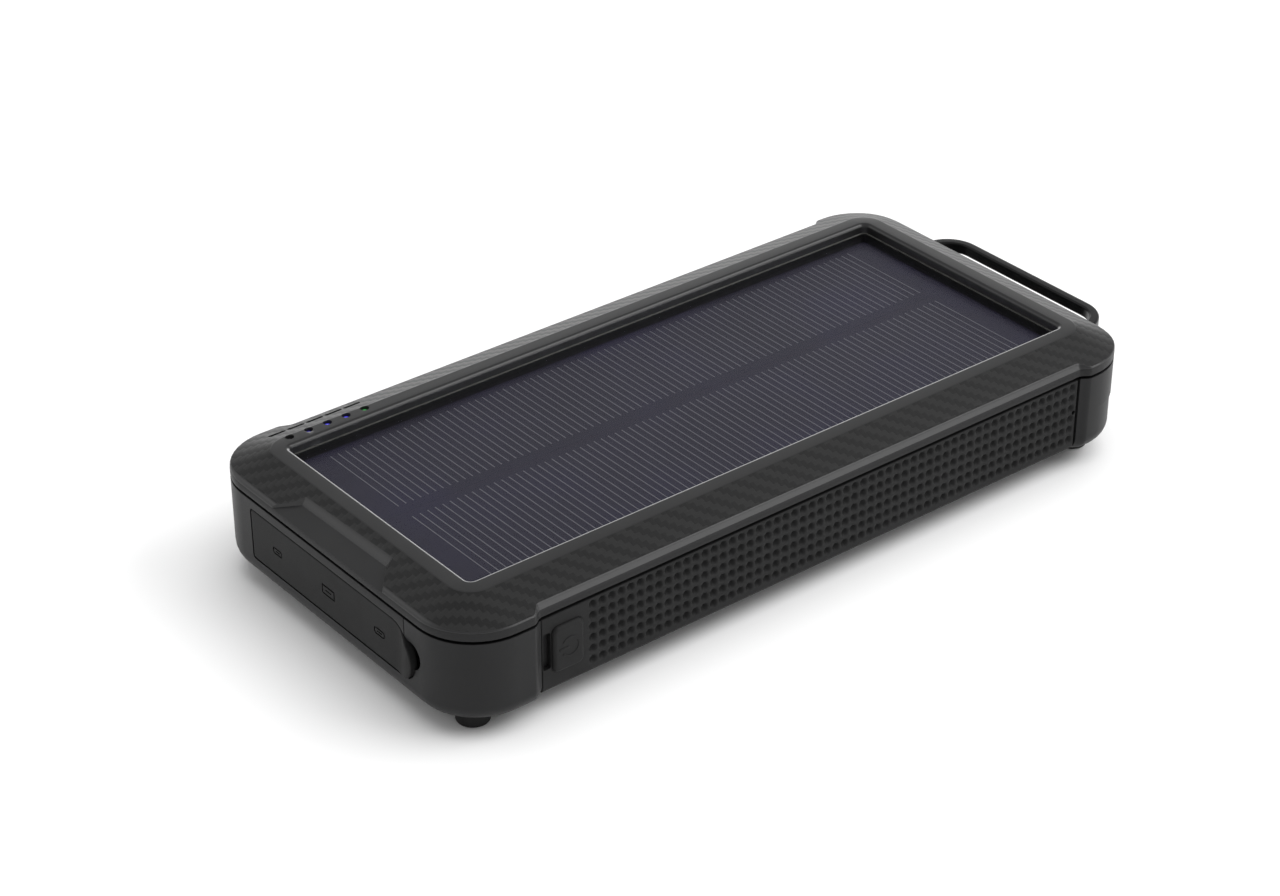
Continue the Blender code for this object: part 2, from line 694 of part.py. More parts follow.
def round_lower_edge(grip, side):
    """The grip's lower outer edge follows the rounded lower edge of the case."""
    mesh = grip.data
    attribute = mesh.attributes.new("bevel_weight_edge", "FLOAT", "EDGE")
    for edge in mesh.edges:
        ends = [mesh.vertices[i].co / MM for i in edge.vertices]
        low = all(end.z < GRIP_Z[0] + 0.1 for end in ends)
        outer = all(side * end.y > GRIP_OUT_Y - 0.1 for end in ends)
        attribute.data[edge.index].value = 1.0 if low and outer else 0.0
    bevel = grip.modifiers.new("lower_edge", "BEVEL")
    bevel.limit_method = "WEIGHT"
    bevel.width = 1.0 * MM
    bevel.segments = 3


def make_button():
    """The power button: a pad through the grip, a flange that keeps it in, and a stem."""
    outer = -(GRIP_OUT_Y + BUTTON_PROUD)
    inner = -(GRIP_OUT_Y - GRIP_THICK - GAP)
    pad = flat_outline("power_button", [rounded_rect(BUTTON_W, BUTTON_H, 1.2)], inner - outer + 0.2)
    pad.transform(Matrix.Translation((0.0, (outer + inner + 0.2) / 2, 0.0)) @ AXES["y"])
    button = add_object("power_button", pad, "rubber", (BUTTON_X, 0.0, BUTTON_Z))
    flange = box_mesh("flange", (BUTTON_X - BUTTON_W / 2 - 0.8, inner, BUTTON_Z - BUTTON_H / 2 - 0.8),
                      (BUTTON_X + BUTTON_W / 2 + 0.8, inner + 0.6, BUTTON_Z + BUTTON_H / 2 + 0.8))
    boolean(button, flange, "UNION")
    stem = cylinder_mesh("stem", (BUTTON_X, -34.9, BUTTON_Z), 1.2, 2.0, "y", 12)
    boolean(button, stem, "UNION")


def make_switch():
    low = (BUTTON_X - 2.25, -32.6, PCB_TOP + GAP)
    high = (BUTTON_X + 2.25, -29.6, BUTTON_Z + 2.2)
    body = add_object("tactile_switch", box_mesh("tactile_switch", low, high, 0.2, 1), "chip")
    boolean(body, cylinder_mesh("plunger_hole", (BUTTON_X, -32.6, BUTTON_Z), 1.1, 2.8, "y"))
    plunger = cylinder_mesh("switch_plunger", (0.0, -32.75, 0.0), 0.85, 1.7, "y", 12)
    add_object("switch_plunger", plunger, "contact_plastic", (BUTTON_X, 0.0, BUTTON_Z))


# ---------------------------------------------------------------- batteries and leads

def make_batteries():
    for name, (low_z, high_z) in zip(("battery_cell_lower", "battery_cell_upper"), POUCH_Z):
        low = (CELL_X[0], -POUCH_HALF_Y, low_z)
        high = (CELL_X[1], POUCH_HALF_Y, high_z)
        add_object(name, box_mesh(name, low, high, 1.4, 3), "pouch")
    low = (CELL_X[0] + 6, -POUCH_HALF_Y + 6, POUCH_Z[0][1] + GAP)
    high = (CELL_X[1] - 10, POUCH_HALF_Y - 6, POUCH_Z[1][0] - GAP)
    add_object("battery_tape", box_mesh("battery_tape", low, high), "tape")


def make_leads():
    top = PCB_TOP + 0.9
    wire("battery_lead_positive", "lead_red",
         [(-52.0, -9.0, top), (-49.5, -9.0, top + 0.6), (-47.4, -8.6, top + 1.0), (-45.9, -8.0, 8.05)], 0.5)
    wire("battery_lead_negative", "lead_black",
         [(-52.0, -4.0, top), (-49.5, -4.0, top + 0.6), (-47.4, -4.4, top + 1.0), (-45.9, -5.0, 8.05)], 0.5)
    wire("solar_lead_positive", "lead_red",
         [(-49.5, 14.0, top), (-49.0, 14.2, 9.5), (-50.5, 14.6, 13.0), (-51.0, 15.0, 16.4)], 0.45)
    wire("solar_lead_negative", "lead_black",
         [(-49.5, 17.0, top), (-49.0, 17.4, 9.5), (-50.5, 18.0, 13.0), (-51.0, 18.6, 16.4)], 0.45)


# ---------------------------------------------------------------- flap and bail

def make_port_flap():
    """The rubber flap hinges on its outer edge at the +Y end; that edge is its origin."""
    hinge = Vector((-HALF_X, FLAP_Y[1], sum(FLAP_Z) / 2))
    width, height = FLAP_Y[1] - FLAP_Y[0], FLAP_Z[1] - FLAP_Z[0]
    mesh = flat_outline("port_flap", [rounded_rect(width, height, FLAP_R)], FLAP_THICK)
    mesh.transform(end_wall_matrix(FLAP_THICK / 2, -width / 2, 0.0))
    flap = add_object("port_flap", mesh, "rubber", hinge)
    tab = cylinder_mesh("tab", (-HALF_X + (FLAP_THICK - TAB_PROUD) / 2, FLAP_Y[0], TAB_Z), TAB_R,
                        FLAP_THICK + TAB_PROUD, "x", 20)
    boolean(flap, tab, "UNION")
    for name, y, wide, high, depth, wall, *_ in SOCKETS:
        z = PCB_TOP + GAP + high / 2
        plug = (wide / 2 - wall - 0.8, high / 2 - wall - 0.5)
        low = (-HALF_X + FLAP_THICK - 0.3, y - plug[0], z - plug[1])
        boolean(flap, box_mesh(f"{name}_plug", low, (SOCKET_FRONT_X + 1.2, y + plug[0], z + plug[1])),
                "UNION")
    low_y = FLAP_Y[1] - 2.2 + GAP
    anchor = box_mesh("flap_anchor", (-HALF_X + FLAP_THICK + GAP, low_y, TAB_Z - 2.7),
                      (-HALF_X + 5.0, FLAP_Y[1] - 0.8 - GAP, TAB_Z + 2.7))
    obj = add_object("flap_anchor", anchor, "rubber")
    head = box_mesh("anchor_head", (-HALF_X + 3.5, low_y - 1.0, TAB_Z - 2.7),
                    (-HALF_X + 4.6, FLAP_Y[1] - 0.1, TAB_Z + 2.7))
    boolean(obj, head, "UNION")


def make_bail():
    """A flat U of bar with an eye at the end of each leg; its origin is on the pivot axis."""
    pivot = Vector((BAIL_PIVOT_X, 0.0, BAIL_PIVOT_Z))
    mesh = flat_outline("bail_handle", [bail_outline()], BAIL_THICK)
    bail = add_object("bail_handle", mesh, "shell_plastic", pivot)
    for side in (-1, 1):
        y = side * (BAIL_HALF_Y - BAIL_BAR / 2)
        boolean(bail, cylinder_mesh("eye", (BAIL_PIVOT_X, y, BAIL_PIVOT_Z), BAIL_EYE_R, BAIL_BAR, "y"),
                "UNION")
        boolean(bail, cylinder_mesh("eye_bore", (BAIL_PIVOT_X, y, BAIL_PIVOT_Z), PIN_R + PIN_CLEAR,
                                    BAIL_BAR + 2, "y"))
        name = "bail_pin_left" if side > 0 else "bail_pin_right"
        length = BAIL_HALF_Y - LUG_Y[0] - 0.2
        pin = cylinder_mesh(name, (0.0, side * (LUG_Y[0] + length / 2), 0.0), PIN_R, length, "y")
        add_object(name, pin, "steel", pivot)


def bail_outline():
    """The U's outline about its pivot: out along one leg, round the corners and back inside."""
    points = []
    reach = BAIL_OUT_X - BAIL_PIVOT_X
    for inset, order in ((0.0, 1), (BAIL_BAR, -1)):
        radius = BAIL_R - inset
        half = BAIL_HALF_Y - inset
        side = [(0.0, half)]
        for i in range(7):
            angle = math.radians(90 - 15 * i)
            side.append((reach - BAIL_R + radius * math.cos(angle),
                         BAIL_HALF_Y - BAIL_R + radius * math.sin(angle)))
        loop = side + [(x, -y) for x, y in reversed(side)]
        points += loop[::order]
    return points


clear_scene()
PARTS = new_collection(COLLECTION)
CUTTERS = new_collection("cutters")
make_main_shell()
make_top_cover()
make_case_seal()
make_corner_hardware()
make_solar_panel()
make_circuit_board()
make_sockets()
make_board_parts()
make_indicators()
make_grips()
make_button()
make_switch()
make_batteries()
make_leads()
make_port_flap()
make_bail()
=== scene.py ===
"""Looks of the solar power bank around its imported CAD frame: detailed case, grips, panel and flap.

Meshes are made in millimetres in the CAD's own frame and turned into metres by add_piece.
"""
import math

import bmesh
import bpy
from mathutils import Matrix, Vector


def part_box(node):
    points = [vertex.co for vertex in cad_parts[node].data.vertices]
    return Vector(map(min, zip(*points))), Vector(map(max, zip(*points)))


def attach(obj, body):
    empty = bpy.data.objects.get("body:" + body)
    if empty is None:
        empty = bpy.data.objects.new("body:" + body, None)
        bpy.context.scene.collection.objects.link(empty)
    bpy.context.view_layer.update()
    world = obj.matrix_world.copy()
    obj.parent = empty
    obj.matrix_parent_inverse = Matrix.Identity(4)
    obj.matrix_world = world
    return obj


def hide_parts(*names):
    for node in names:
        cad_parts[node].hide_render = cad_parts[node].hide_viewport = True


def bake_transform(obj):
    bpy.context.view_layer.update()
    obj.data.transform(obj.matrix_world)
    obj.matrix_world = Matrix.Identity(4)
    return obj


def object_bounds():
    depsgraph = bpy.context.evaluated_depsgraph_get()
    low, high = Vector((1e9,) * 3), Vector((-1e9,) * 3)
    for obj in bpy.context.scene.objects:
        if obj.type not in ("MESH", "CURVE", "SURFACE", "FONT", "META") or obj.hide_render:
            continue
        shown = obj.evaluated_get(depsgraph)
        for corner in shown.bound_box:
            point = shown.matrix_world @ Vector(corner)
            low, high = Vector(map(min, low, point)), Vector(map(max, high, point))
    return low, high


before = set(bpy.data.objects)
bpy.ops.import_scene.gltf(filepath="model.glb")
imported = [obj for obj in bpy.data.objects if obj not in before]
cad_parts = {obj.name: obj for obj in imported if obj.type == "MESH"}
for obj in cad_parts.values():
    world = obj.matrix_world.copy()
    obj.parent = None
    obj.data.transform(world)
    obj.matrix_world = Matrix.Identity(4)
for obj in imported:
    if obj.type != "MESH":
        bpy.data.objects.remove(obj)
CAD_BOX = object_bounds()
MM = 0.001
AXES = {
    "x": Matrix.Rotation(math.radians(90), 4, "Y"),
    "y": Matrix.Rotation(math.radians(90), 4, "X"),
    "z": Matrix.Identity(4),
}


def box_mm(node):
    low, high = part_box(node)
    return low / MM, high / MM


def middle_mm(node):
    low, high = box_mm(node)
    return (low + high) / 2


COVER_HIGH = box_mm("top_cover")[1]
SHELL_HIGH = box_mm("main_shell")[1]
GRIP_LOW, GRIP_HIGH = box_mm("side_grip_button_side")
FLAP_LOW, FLAP_HIGH = box_mm("port_flap")
BUTTON_LOW, BUTTON_HIGH = box_mm("power_button")
PANEL_LOW, PANEL_HIGH = box_mm("solar_window")
BAIL_LOW, BAIL_HIGH = box_mm("bail_handle")

# Corners of a rectangle, anticlockwise: signs of x and y, and the angle at which each starts
CORNERS = ((1, 1, 0), (-1, 1, 90), (-1, -1, 180), (1, -1, 270))

# Case outline and levels
HALF_X, HALF_Y, RIM_Z = COVER_HIGH
CORNER_R = 11.7
CORNER_STEPS = 12
SIDE_STEP = 1.15  # the long sides are set in by this much between the corner lobes
LOBE_NEAR_X = -64.8
LOBE_FAR_X = 67.0
LOBE_RUN = 2.4
LOBE_STEPS = 6
SHELL_TOP = SHELL_HIGH.z
SKIRT_Z = SHELL_TOP + 0.6
BOTTOM_R = 3.2
END_STEP_Z = 8.9
END_STEP = 0.5

# Window and panel
GAP = 0.3
WINDOW_X = PANEL_HIGH.x + 0.1
WINDOW_Y = PANEL_HIGH.y + 0.2
WINDOW_R = 1.2
WINDOW_FILLET = 0.8
SMOOTH_BAND = 3.3
BAND_DROP = 0.1

# Cells and the silver lines printed on them
CELL_LOW_X, CELL_HIGH_X = -68.9, 68.4
CELL_ROWS_Y = ((-26.9, 1.05), (1.1, 26.3))
FINGER_ROWS_Y = ((-24.0, -0.9), (3.3, 24.6))
FINGER_PITCH = 1.6
FINGER_WIDTH = 0.2

# Edge of the cover, as (inset, height): straight long side, corner lobe, straight end
EDGE_SIDE = ((0.93, 19.37), (0.8, 19.25), (0.62, 19.0), (0.25, 18.25), (0.08, 17.85), (0.0, 17.5))
EDGE_LOBE = ((0.25, 18.76), (0.14, 18.68), (0.06, 18.58), (0.02, 18.45), (0.0, 18.3), (0.0, 17.45))
EDGE_END = ((0.9, 18.9), (0.62, 18.72), (0.36, 18.45), (0.17, 18.1), (0.05, 17.7), (0.0, 17.3))

# Undersides: (half length, half width, corner radius) of the cavities, and their levels
COVER_CAVITY, COVER_MOUTH = (76.6, 34.2, 7.4), (78.8, 36.7, 9.4)
COVER_LEDGE_Z = 15.9
COVER_LEDGE_REACH = 2.4
COVER_WALL = 1.3
COVER_CAVITY_Z = (19.2, 17.5)
SHELL_CAVITY, SHELL_MOUTH = (76.8, 34.4, 8.0), (78.5, 36.4, 9.2)
SHELL_FLOOR_Z, SHELL_SHOULDER_Z = 1.6, 15.6
SHELL_EDGE = ((0.3, 0.5), (0.24, 0.0), (0.12, 0.0), (0.03, 0.04), (0.0, 0.12))  # (inset, drop)

# Material index of each band of the cover
SMOOTH, TWILL, SEALANT, SHELL, LIP = range(5)
EDGE_MARKS = (SHELL, SHELL, SMOOTH, SMOOTH, SMOOTH, TWILL)
# The sealant bead between the window's wall and the panel, as (grow, rise over the panel, material)
BEAD = ((0.0, 0.66, SEALANT), (-0.32, 0.6, SEALANT), (-0.32, 0.5, SMOOTH), (0.0, 0.42, SMOOTH))

# Lights and the slots beside them
LIGHT_COUNT = 5
LIGHT_HOLE_R = 0.85
PIPE_TOP_Z = RIM_Z - 0.5
MARK_Y, MARK_Z = 34.5, 20.1

# Feet
FOOT_COUNT = 4
FOOT_EDGE = 0.35

# Bail, its lugs and pins
LUG_WIDTH = 3.0
LUG_Y = BAIL_HIGH.y - 3.9
BAIL_BAR = 2.0
BAIL_THICK = 2.4
BAIL_EYE_R = 2.1
BAIL_BEND_R = 6.0
PIN_BORE_R = 0.9

# Port flap: its thumb end as (y, z) points from the top round to the bottom
FLAP_END = ((-19.6, 14.4), (-20.8, 14.2), (-21.8, 13.7), (-22.6, 12.9), (-23.6, 12.3), (-24.5, 11.4),
            (-25.2, 10.2), (-25.5, 9.0), (-25.6, 7.8), (-25.4, 6.6), (-24.8, 5.5), (-23.9, 4.7))
FLAP_THICK = 1.4
FLAP_GAP = 0.22
STRAP_Z = 9.3
SLOT_TRIM = (0.7, 0.4)
BEND_START_Y, BEND_RUN = -20.0, 4.8
BEND_TOP_Z, BEND_FADE = 13.4, 1.6
SCOOP_Y, SCOOP_Z = -24.8, 9.8
SCOOP_PROFILE = ((0.0, 2.6), (1.6, 2.6), (2.2, 2.35), (2.5, 1.8), (2.65, 0.9), (2.7, -2.0), (0.0, -2.0))
PARTING_Y = (-23.1, -22.9)

# Button pad
PAD_SIZE = (6.6, 9.2)
PAD_SHIFT = (-0.2, 0.1)
PAD_R = 1.3
FLANGE_Y = (-36.15, -35.55)
SIGN_R, SIGN_LINE, SIGN_RELIEF = 1.84, 0.42, 0.1
SIGN_OPENING = 145.0

# Thumb notch: right and left corners at its inner edge, then past the end of the case
NOTCH_FLOOR = ((-75.85, -12.2, 19.3), (-76.25, 12.8, 19.3), (-82.0, -19.2, 17.3), (-82.0, 19.6, 17.3))
NOTCH_TOP = ((-73.75, -12.8, 22.0), (-74.15, 13.4, 22.0), (-82.0, -20.4, 22.0), (-82.0, 20.9, 22.0))

# Grips and their dimples
GRIP_HIGH_Y = -GRIP_LOW.y
GRIP_THICK = GRIP_HIGH.y - GRIP_LOW.y
GRIP_EDGE = 0.25
DIMPLE_FIRST_X = -51.6
DIMPLE_PITCH_X = 2.05
DIMPLE_COLUMNS = 57
DIMPLE_ROWS_Z = (14.9, 12.64, 10.38, 8.12, 5.86, 3.6)
DIMPLE_LINES_Z = (15.85, 13.77, 11.51, 9.25, 6.99, 4.73, 2.6, 2.0)
DIMPLE_PROFILE = ((0.95, 0.0), (0.89, 0.03), (0.76, 0.15), (0.58, 0.40), (0.40, 0.66), (0.20, 0.82))
DIMPLE_SEGMENTS = 12

# Camera: degrees, millimetres of lens and metres
CAMERA_AZIMUTH, CAMERA_ELEVATION = -38.7937, 31.3746
CAMERA_LENS = 83.99
CAMERA_DISTANCE = 0.55065
CAMERA_SHIFT = (-0.008665, -0.01176)


# ---------------------------------------------------------------- mesh helpers

def face_outwards(bm):
    bmesh.ops.recalc_face_normals(bm, faces=bm.faces)
    if bm.calc_volume(signed=True) < 0:
        bmesh.ops.reverse_faces(bm, faces=bm.faces)


def finish_mesh(bm, name):
    face_outwards(bm)
    mesh = bpy.data.meshes.new(name)
    bm.to_mesh(mesh)
    bm.free()
    return mesh


def linked(name, data):
    """A new object for the data, placed in the scene."""
    obj = bpy.data.objects.new(name, data)
    bpy.context.scene.collection.objects.link(obj)
    return obj


def applied(holder, keep_layers=False):
    """The holder's mesh with its modifiers applied; the holder is removed."""
    graph = bpy.context.evaluated_depsgraph_get()
    source = holder.evaluated_get(graph)
    if keep_layers:
        made = bpy.data.meshes.new_from_object(source, preserve_all_data_layers=True, depsgraph=graph)
    else:
        made = bpy.data.meshes.new_from_object(source)
    bpy.data.objects.remove(holder, do_unlink=True)
    return made


def add_piece(name, mesh, body, materials, stands_for=(), sharp=35.0):
    """Links a mesh given in millimetres as a piece that rides on a body."""
    mesh.transform(Matrix.Scale(MM, 4))
    mesh = smoothly_shaded(mesh, sharp)
    obj = linked(name, mesh)
    for material in materials:
        mesh.materials.append(material)
    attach(obj, body)
    if stands_for:
        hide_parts(*stands_for)


def smoothly_shaded(mesh, sharp):
    """The mesh shaded smooth up to the sharp angle, its normals led by the larger faces."""
    mesh.shade_smooth()
    mesh.set_sharp_from_angle(angle=math.radians(sharp))
    holder = linked("holder", mesh)
    weigh = holder.modifiers.new("weigh", "WEIGHTED_NORMAL")
    weigh.keep_sharp = True
    return applied(holder, keep_layers=True)


def combined(base, steps):
    """A mesh with others cut from it or joined to it: steps are (operation, mesh), in millimetres."""
    holder = linked("holder", base)
    cutters = []
    for operation, mesh in steps:
        cutter = linked("cutter", mesh)
        cutters.append(cutter)
        change = holder.modifiers.new(operation, "BOOLEAN")
        change.operation = operation
        change.solver = "EXACT"
        change.object = cutter
    made = applied(holder)
    for cutter in cutters:
        bpy.data.objects.remove(cutter, do_unlink=True)
    return made


def softened(mesh, width, segments=2, angle=40.0):
    """The mesh with its sharper edges rounded over."""
    holder = linked("holder", mesh)
    bevel = holder.modifiers.new("soften", "BEVEL")
    bevel.limit_method = "ANGLE"
    bevel.angle_limit = math.radians(angle)
    bevel.width = width
    bevel.segments = segments
    bevel.use_clamp_overlap = True
    bevel.miter_outer = "MITER_ARC"
    return applied(holder)


def joined(meshes, name):
    bm = bmesh.new()
    for mesh in meshes:
        bm.from_mesh(mesh)
        bpy.data.meshes.remove(mesh)
    made = bpy.data.meshes.new(name)
    bm.to_mesh(made)
    bm.free()
    return made


def loft(name, rings, closed=False, marked=()):
    """Joins equal loops with quads; marked holds the material index of each band."""
    bm = bmesh.new()
    loops = [[bm.verts.new(point) for point in ring] for ring in rings]
    count = len(loops[0])
    pairs = list(zip(loops, loops[1:]))
    if closed:
        pairs.append((loops[-1], loops[0]))
    for index, (low, high) in enumerate(pairs):
        for i in range(count):
            j = (i + 1) % count
            face = bm.faces.new((low[i], low[j], high[j], high[i]))
            face.material_index = marked[index] if index < len(marked) else 0
    if not closed:
        bm.faces.new(loops[0])
        bm.faces.new(loops[-1])
    return finish_mesh(bm, name)


def box_mesh(name, low, high, bevel=0.0, segments=2):
    bm = bmesh.new()
    bmesh.ops.create_cube(bm, size=1.0)
    low, high = Vector(low), Vector(high)
    for vert in bm.verts:
        vert.co = Vector([low[i] + (high[i] - low[i]) * (vert.co[i] + 0.5) for i in range(3)])
    if bevel:
        bmesh.ops.bevel(bm, geom=bm.edges[:], offset=bevel, segments=segments,
                        profile=0.5, affect="EDGES", clamp_overlap=True)
    return finish_mesh(bm, name)


def cylinder_mesh(name, centre, radius, length, axis="z", sides=32):
    bm = bmesh.new()
    bmesh.ops.create_cone(bm, cap_ends=True, segments=sides, radius1=radius, radius2=radius, depth=length)
    bm.transform(Matrix.Translation(centre) @ AXES[axis])
    return finish_mesh(bm, name)


def turned(name, profile, place, sides=48):
    """A profile of (radius, z) pairs turned about a vertical axis; it starts and ends on the axis."""
    rings = []
    turn = [2 * math.pi * i / sides for i in range(sides)]
    for radius, z in profile[1:-1]:
        rings.append([(radius * math.cos(a), radius * math.sin(a), z) for a in turn])
    mesh = loft(name, rings)
    mesh.transform(Matrix.Translation(place))
    return mesh


def arc(centre, radius, start, end, steps):
    """Points along part of a circle, between two angles in degrees."""
    turns = [math.radians(start + (end - start) * i / steps) for i in range(steps + 1)]
    return [(centre[0] + radius * math.cos(turn), centre[1] + radius * math.sin(turn)) for turn in turns]


def rounded_rect(width, height, radius, steps=6):
    points = []
    for sign_x, sign_y, start in CORNERS:
        centre = (sign_x * (width / 2 - radius), sign_y * (height / 2 - radius))
        points += arc(centre, radius, start, start + 90.0, steps)
    return points


def pad_mesh(name, width, height, radius, back, front, edge, steps=3):
    """A rounded plate in local XY from z = back to z = front, its front edge rounded over."""
    rings = [[(x, y, back) for x, y in rounded_rect(width, height, radius)]]
    for i in range(steps + 1):
        angle = math.radians(90.0 * i / steps)
        inset = edge * (1 - math.cos(angle))
        outline = rounded_rect(width - 2 * inset, height - 2 * inset, radius - inset)
        rings.append([(x, y, front - edge * (1 - math.sin(angle))) for x, y in outline])
    return loft(name, rings)


def extruded(name, outline, low, high):
    return loft(name, [[(x, y, z) for x, y in outline] for z in (low, high)])


def on_end_wall(mesh, x, y, z):
    """Turns a plate made in XY to face -X, its width along -Y seen from outside."""
    mesh.transform(Matrix(((0, 0, -1, x), (1, 0, 0, y), (0, 1, 0, z), (0, 0, 0, 1))))
    return flipped_if_needed(mesh)


def on_button_side(mesh, x, y, z):
    """Turns a plate made in XY to face -Y."""
    mesh.transform(Matrix(((1, 0, 0, x), (0, 0, -1, y), (0, 1, 0, z), (0, 0, 0, 1))))
    return flipped_if_needed(mesh)


def flipped_if_needed(mesh):
    bm = bmesh.new()
    bm.from_mesh(mesh)
    face_outwards(bm)
    bm.to_mesh(mesh)
    bm.free()
    return mesh


def eased(t):
    t = min(max(t, 0.0), 1.0)
    return t * t * (3 - 2 * t)


# ---------------------------------------------------------------- materials

def new_material(name, colour, roughness, metallic=0.0, **sockets):
    made = bpy.data.materials.new(name)
    made.use_nodes = True
    shader = principled(made)
    shader.inputs["Base Color"].default_value = (*colour, 1.0)
    shader.inputs["Roughness"].default_value = roughness
    shader.inputs["Metallic"].default_value = metallic
    for socket, value in sockets.items():
        shader.inputs[socket.replace("_", " ")].default_value = value
    return made


def principled(material):
    return material.node_tree.nodes["Principled BSDF"]


def node(material, kind, **settings):
    made = material.node_tree.nodes.new(kind)
    for key, value in settings.items():
        setattr(made, key, value)
    return made


def wire_up(material, source, target):
    material.node_tree.links.new(source, target)


def maths(material, operation, a, b=None, c=None):
    """A Math node whose inputs are sockets or plain numbers; returns its output."""
    made = node(material, "ShaderNodeMath", operation=operation)
    for socket, value in zip(made.inputs, (a, b, c)):
        if isinstance(value, bpy.types.NodeSocket):
            wire_up(material, value, socket)
        elif value is not None:
            socket.default_value = value
    return made.outputs[0]


def position(material):
    """The piece's own coordinates in millimetres, as a vector socket."""
    source = node(material, "ShaderNodeTexCoord")
    scale = node(material, "ShaderNodeVectorMath", operation="SCALE")
    wire_up(material, source.outputs["Object"], scale.inputs[0])
    scale.inputs["Scale"].default_value = 1 / MM
    return scale.outputs[0]


def noise(material, where, size, detail=2.0, stretch=None):
    """Noise whose lumps are about size millimetres across."""
    if stretch:
        change = node(material, "ShaderNodeVectorMath", operation="MULTIPLY")
        wire_up(material, where, change.inputs[0])
        change.inputs[1].default_value = stretch
        where = change.outputs[0]
    made = node(material, "ShaderNodeTexNoise")
    made.inputs["Scale"].default_value = 1 / size
    made.inputs["Detail"].default_value = detail
    wire_up(material, where, made.inputs["Vector"])
    return made.outputs["Fac"]


def between(material, factor, low, high):
    """Maps 0..1 to low..high."""
    made = node(material, "ShaderNodeMapRange")
    wire_up(material, factor, made.inputs["Value"])
    made.inputs["To Min"].default_value = low
    made.inputs["To Max"].default_value = high
    return made.outputs[0]


def colours(material, factor, stops):
    """A colour ramp from (place, (r, g, b)) stops, wired into Base Color."""
    ramp = node(material, "ShaderNodeValToRGB")
    elements = ramp.color_ramp.elements
    while len(elements) < len(stops):
        elements.new(0.5)
    for element, (place, colour) in zip(elements, stops):
        element.position = place
        element.color = (*colour, 1.0)
    wire_up(material, factor, ramp.inputs["Fac"])
    wire_up(material, ramp.outputs["Color"], principled(material).inputs["Base Color"])
    return ramp.outputs["Color"]


def roughen(material, factor, low, high):
    wire_up(material, between(material, factor, low, high), principled(material).inputs["Roughness"])


def bump(material, height, relief):
    """Bump from a 0..1 height whose full range is relief millimetres."""
    made = node(material, "ShaderNodeBump")
    made.inputs["Strength"].default_value = 1.0
    made.inputs["Distance"].default_value = relief * MM
    wire_up(material, height, made.inputs["Height"])
    wire_up(material, made.outputs["Normal"], principled(material).inputs["Normal"])


def grained_material(name, colour, roughness, grain, broad, tones, gloss, relief, sheen=0.5):
    """Plastic with slow changes of tone, and a fine grain that drives its gloss and relief.

    Grain and broad are (size, detail) of their noise; tones are the ramp's stops over the broad noise.
    """
    made = new_material(name, colour, roughness, Specular_IOR_Level=sheen)
    where = position(made)
    fine = noise(made, where, *grain)
    colours(made, noise(made, where, *broad), tones)
    roughen(made, fine, *gloss)
    bump(made, fine, relief)
    return made


def shell_material():
    """Matt moulded plastic with a fine spark-eroded grain."""
    tones = ((0.3, (0.0105, 0.0105, 0.011)), (0.7, (0.0135, 0.0135, 0.014)))
    return grained_material("shell_plastic_fine_grain", (0.012, 0.012, 0.0125), 0.42, (0.22, 3.0),
                            (14.0, 2.0), tones, (0.36, 0.50), 0.012, 0.2)


def smooth_material():
    """The cover's plain band: the same plastic, closer to polished."""
    tones = ((0.3, (0.0120, 0.0120, 0.0125)), (0.7, (0.0145, 0.0145, 0.0150)))
    return grained_material("cover_plastic_smooth", (0.013, 0.013, 0.0135), 0.34, (0.15, 2.0), (9.0, 2.0),
                            tones, (0.29, 0.39), 0.004)


def lip_highlight_material():
    """The window's rounded lip: the band's plastic, with a painted highlight that lightens its colour where
    it is seen at a low angle.
    """
    made = new_material("cover_plastic_lip_painted_highlight", (0.013, 0.013, 0.0135), 0.3)
    where = position(made)
    grain = noise(made, where, 0.15, 2.0)
    tilt = node(made, "ShaderNodeLayerWeight")
    # Painted highlight: the facing ramp lightens the base colour towards grazing views.
    colours(made, tilt.outputs["Facing"], ((0.53, (0.013, 0.013, 0.0135)), (0.64, (0.25, 0.25, 0.25))))
    roughen(made, grain, 0.26, 0.34)
    return made


def twill_material():
    """Carbon weave moulded into the slope: a 2 by 2 twill laid flat over the whole cover, its tows told
    apart by relief and by painted shading.
    """
    tow = 0.985
    made = new_material("cover_plastic_carbon_twill", (0.010, 0.010, 0.010), 0.4, Specular_IOR_Level=0.4)
    where = position(made)
    split = node(made, "ShaderNodeSeparateXYZ")
    wire_up(made, where, split.inputs[0])
    u = maths(made, "DIVIDE", split.outputs["X"], tow)
    v = maths(made, "DIVIDE", split.outputs["Y"], tow)
    cell_u = maths(made, "FLOOR", u)
    cell_v = maths(made, "FLOOR", v)
    phase = maths(made, "FLOORED_MODULO", maths(made, "ADD", cell_u, cell_v), 4.0)
    warp_up = maths(made, "LESS_THAN", phase, 1.5)
    warp = tow_height(made, u, maths(made, "FLOORED_MODULO", maths(made, "ADD", cell_u, v), 4.0))
    weft_run = maths(made, "FLOORED_MODULO", maths(made, "ADD", maths(made, "ADD", u, cell_v), 2.0), 4.0)
    weft = tow_height(made, v, weft_run)
    fibre = fibre_noise(made, where, warp_up)
    height = maths(made, "MULTIPLY_ADD", fibre, 0.18, chosen(made, warp_up, weft, warp))
    # Painted shading: the base colour is darker where the warp lies on top and lighter where the weft does,
    # with the fibre lines, standing for how light falls on tows laid two ways; the same factor also varies
    # the gloss.
    tow_shading = maths(made, "MULTIPLY_ADD", warp_up, 0.5, maths(made, "MULTIPLY", fibre, 0.5))
    colours(made, tow_shading, ((0.0, (0.0150, 0.0150, 0.0150)), (1.0, (0.0018, 0.0018, 0.0020))))
    roughen(made, tow_shading, 0.36, 0.50)
    bump(made, height, 0.02)
    return made


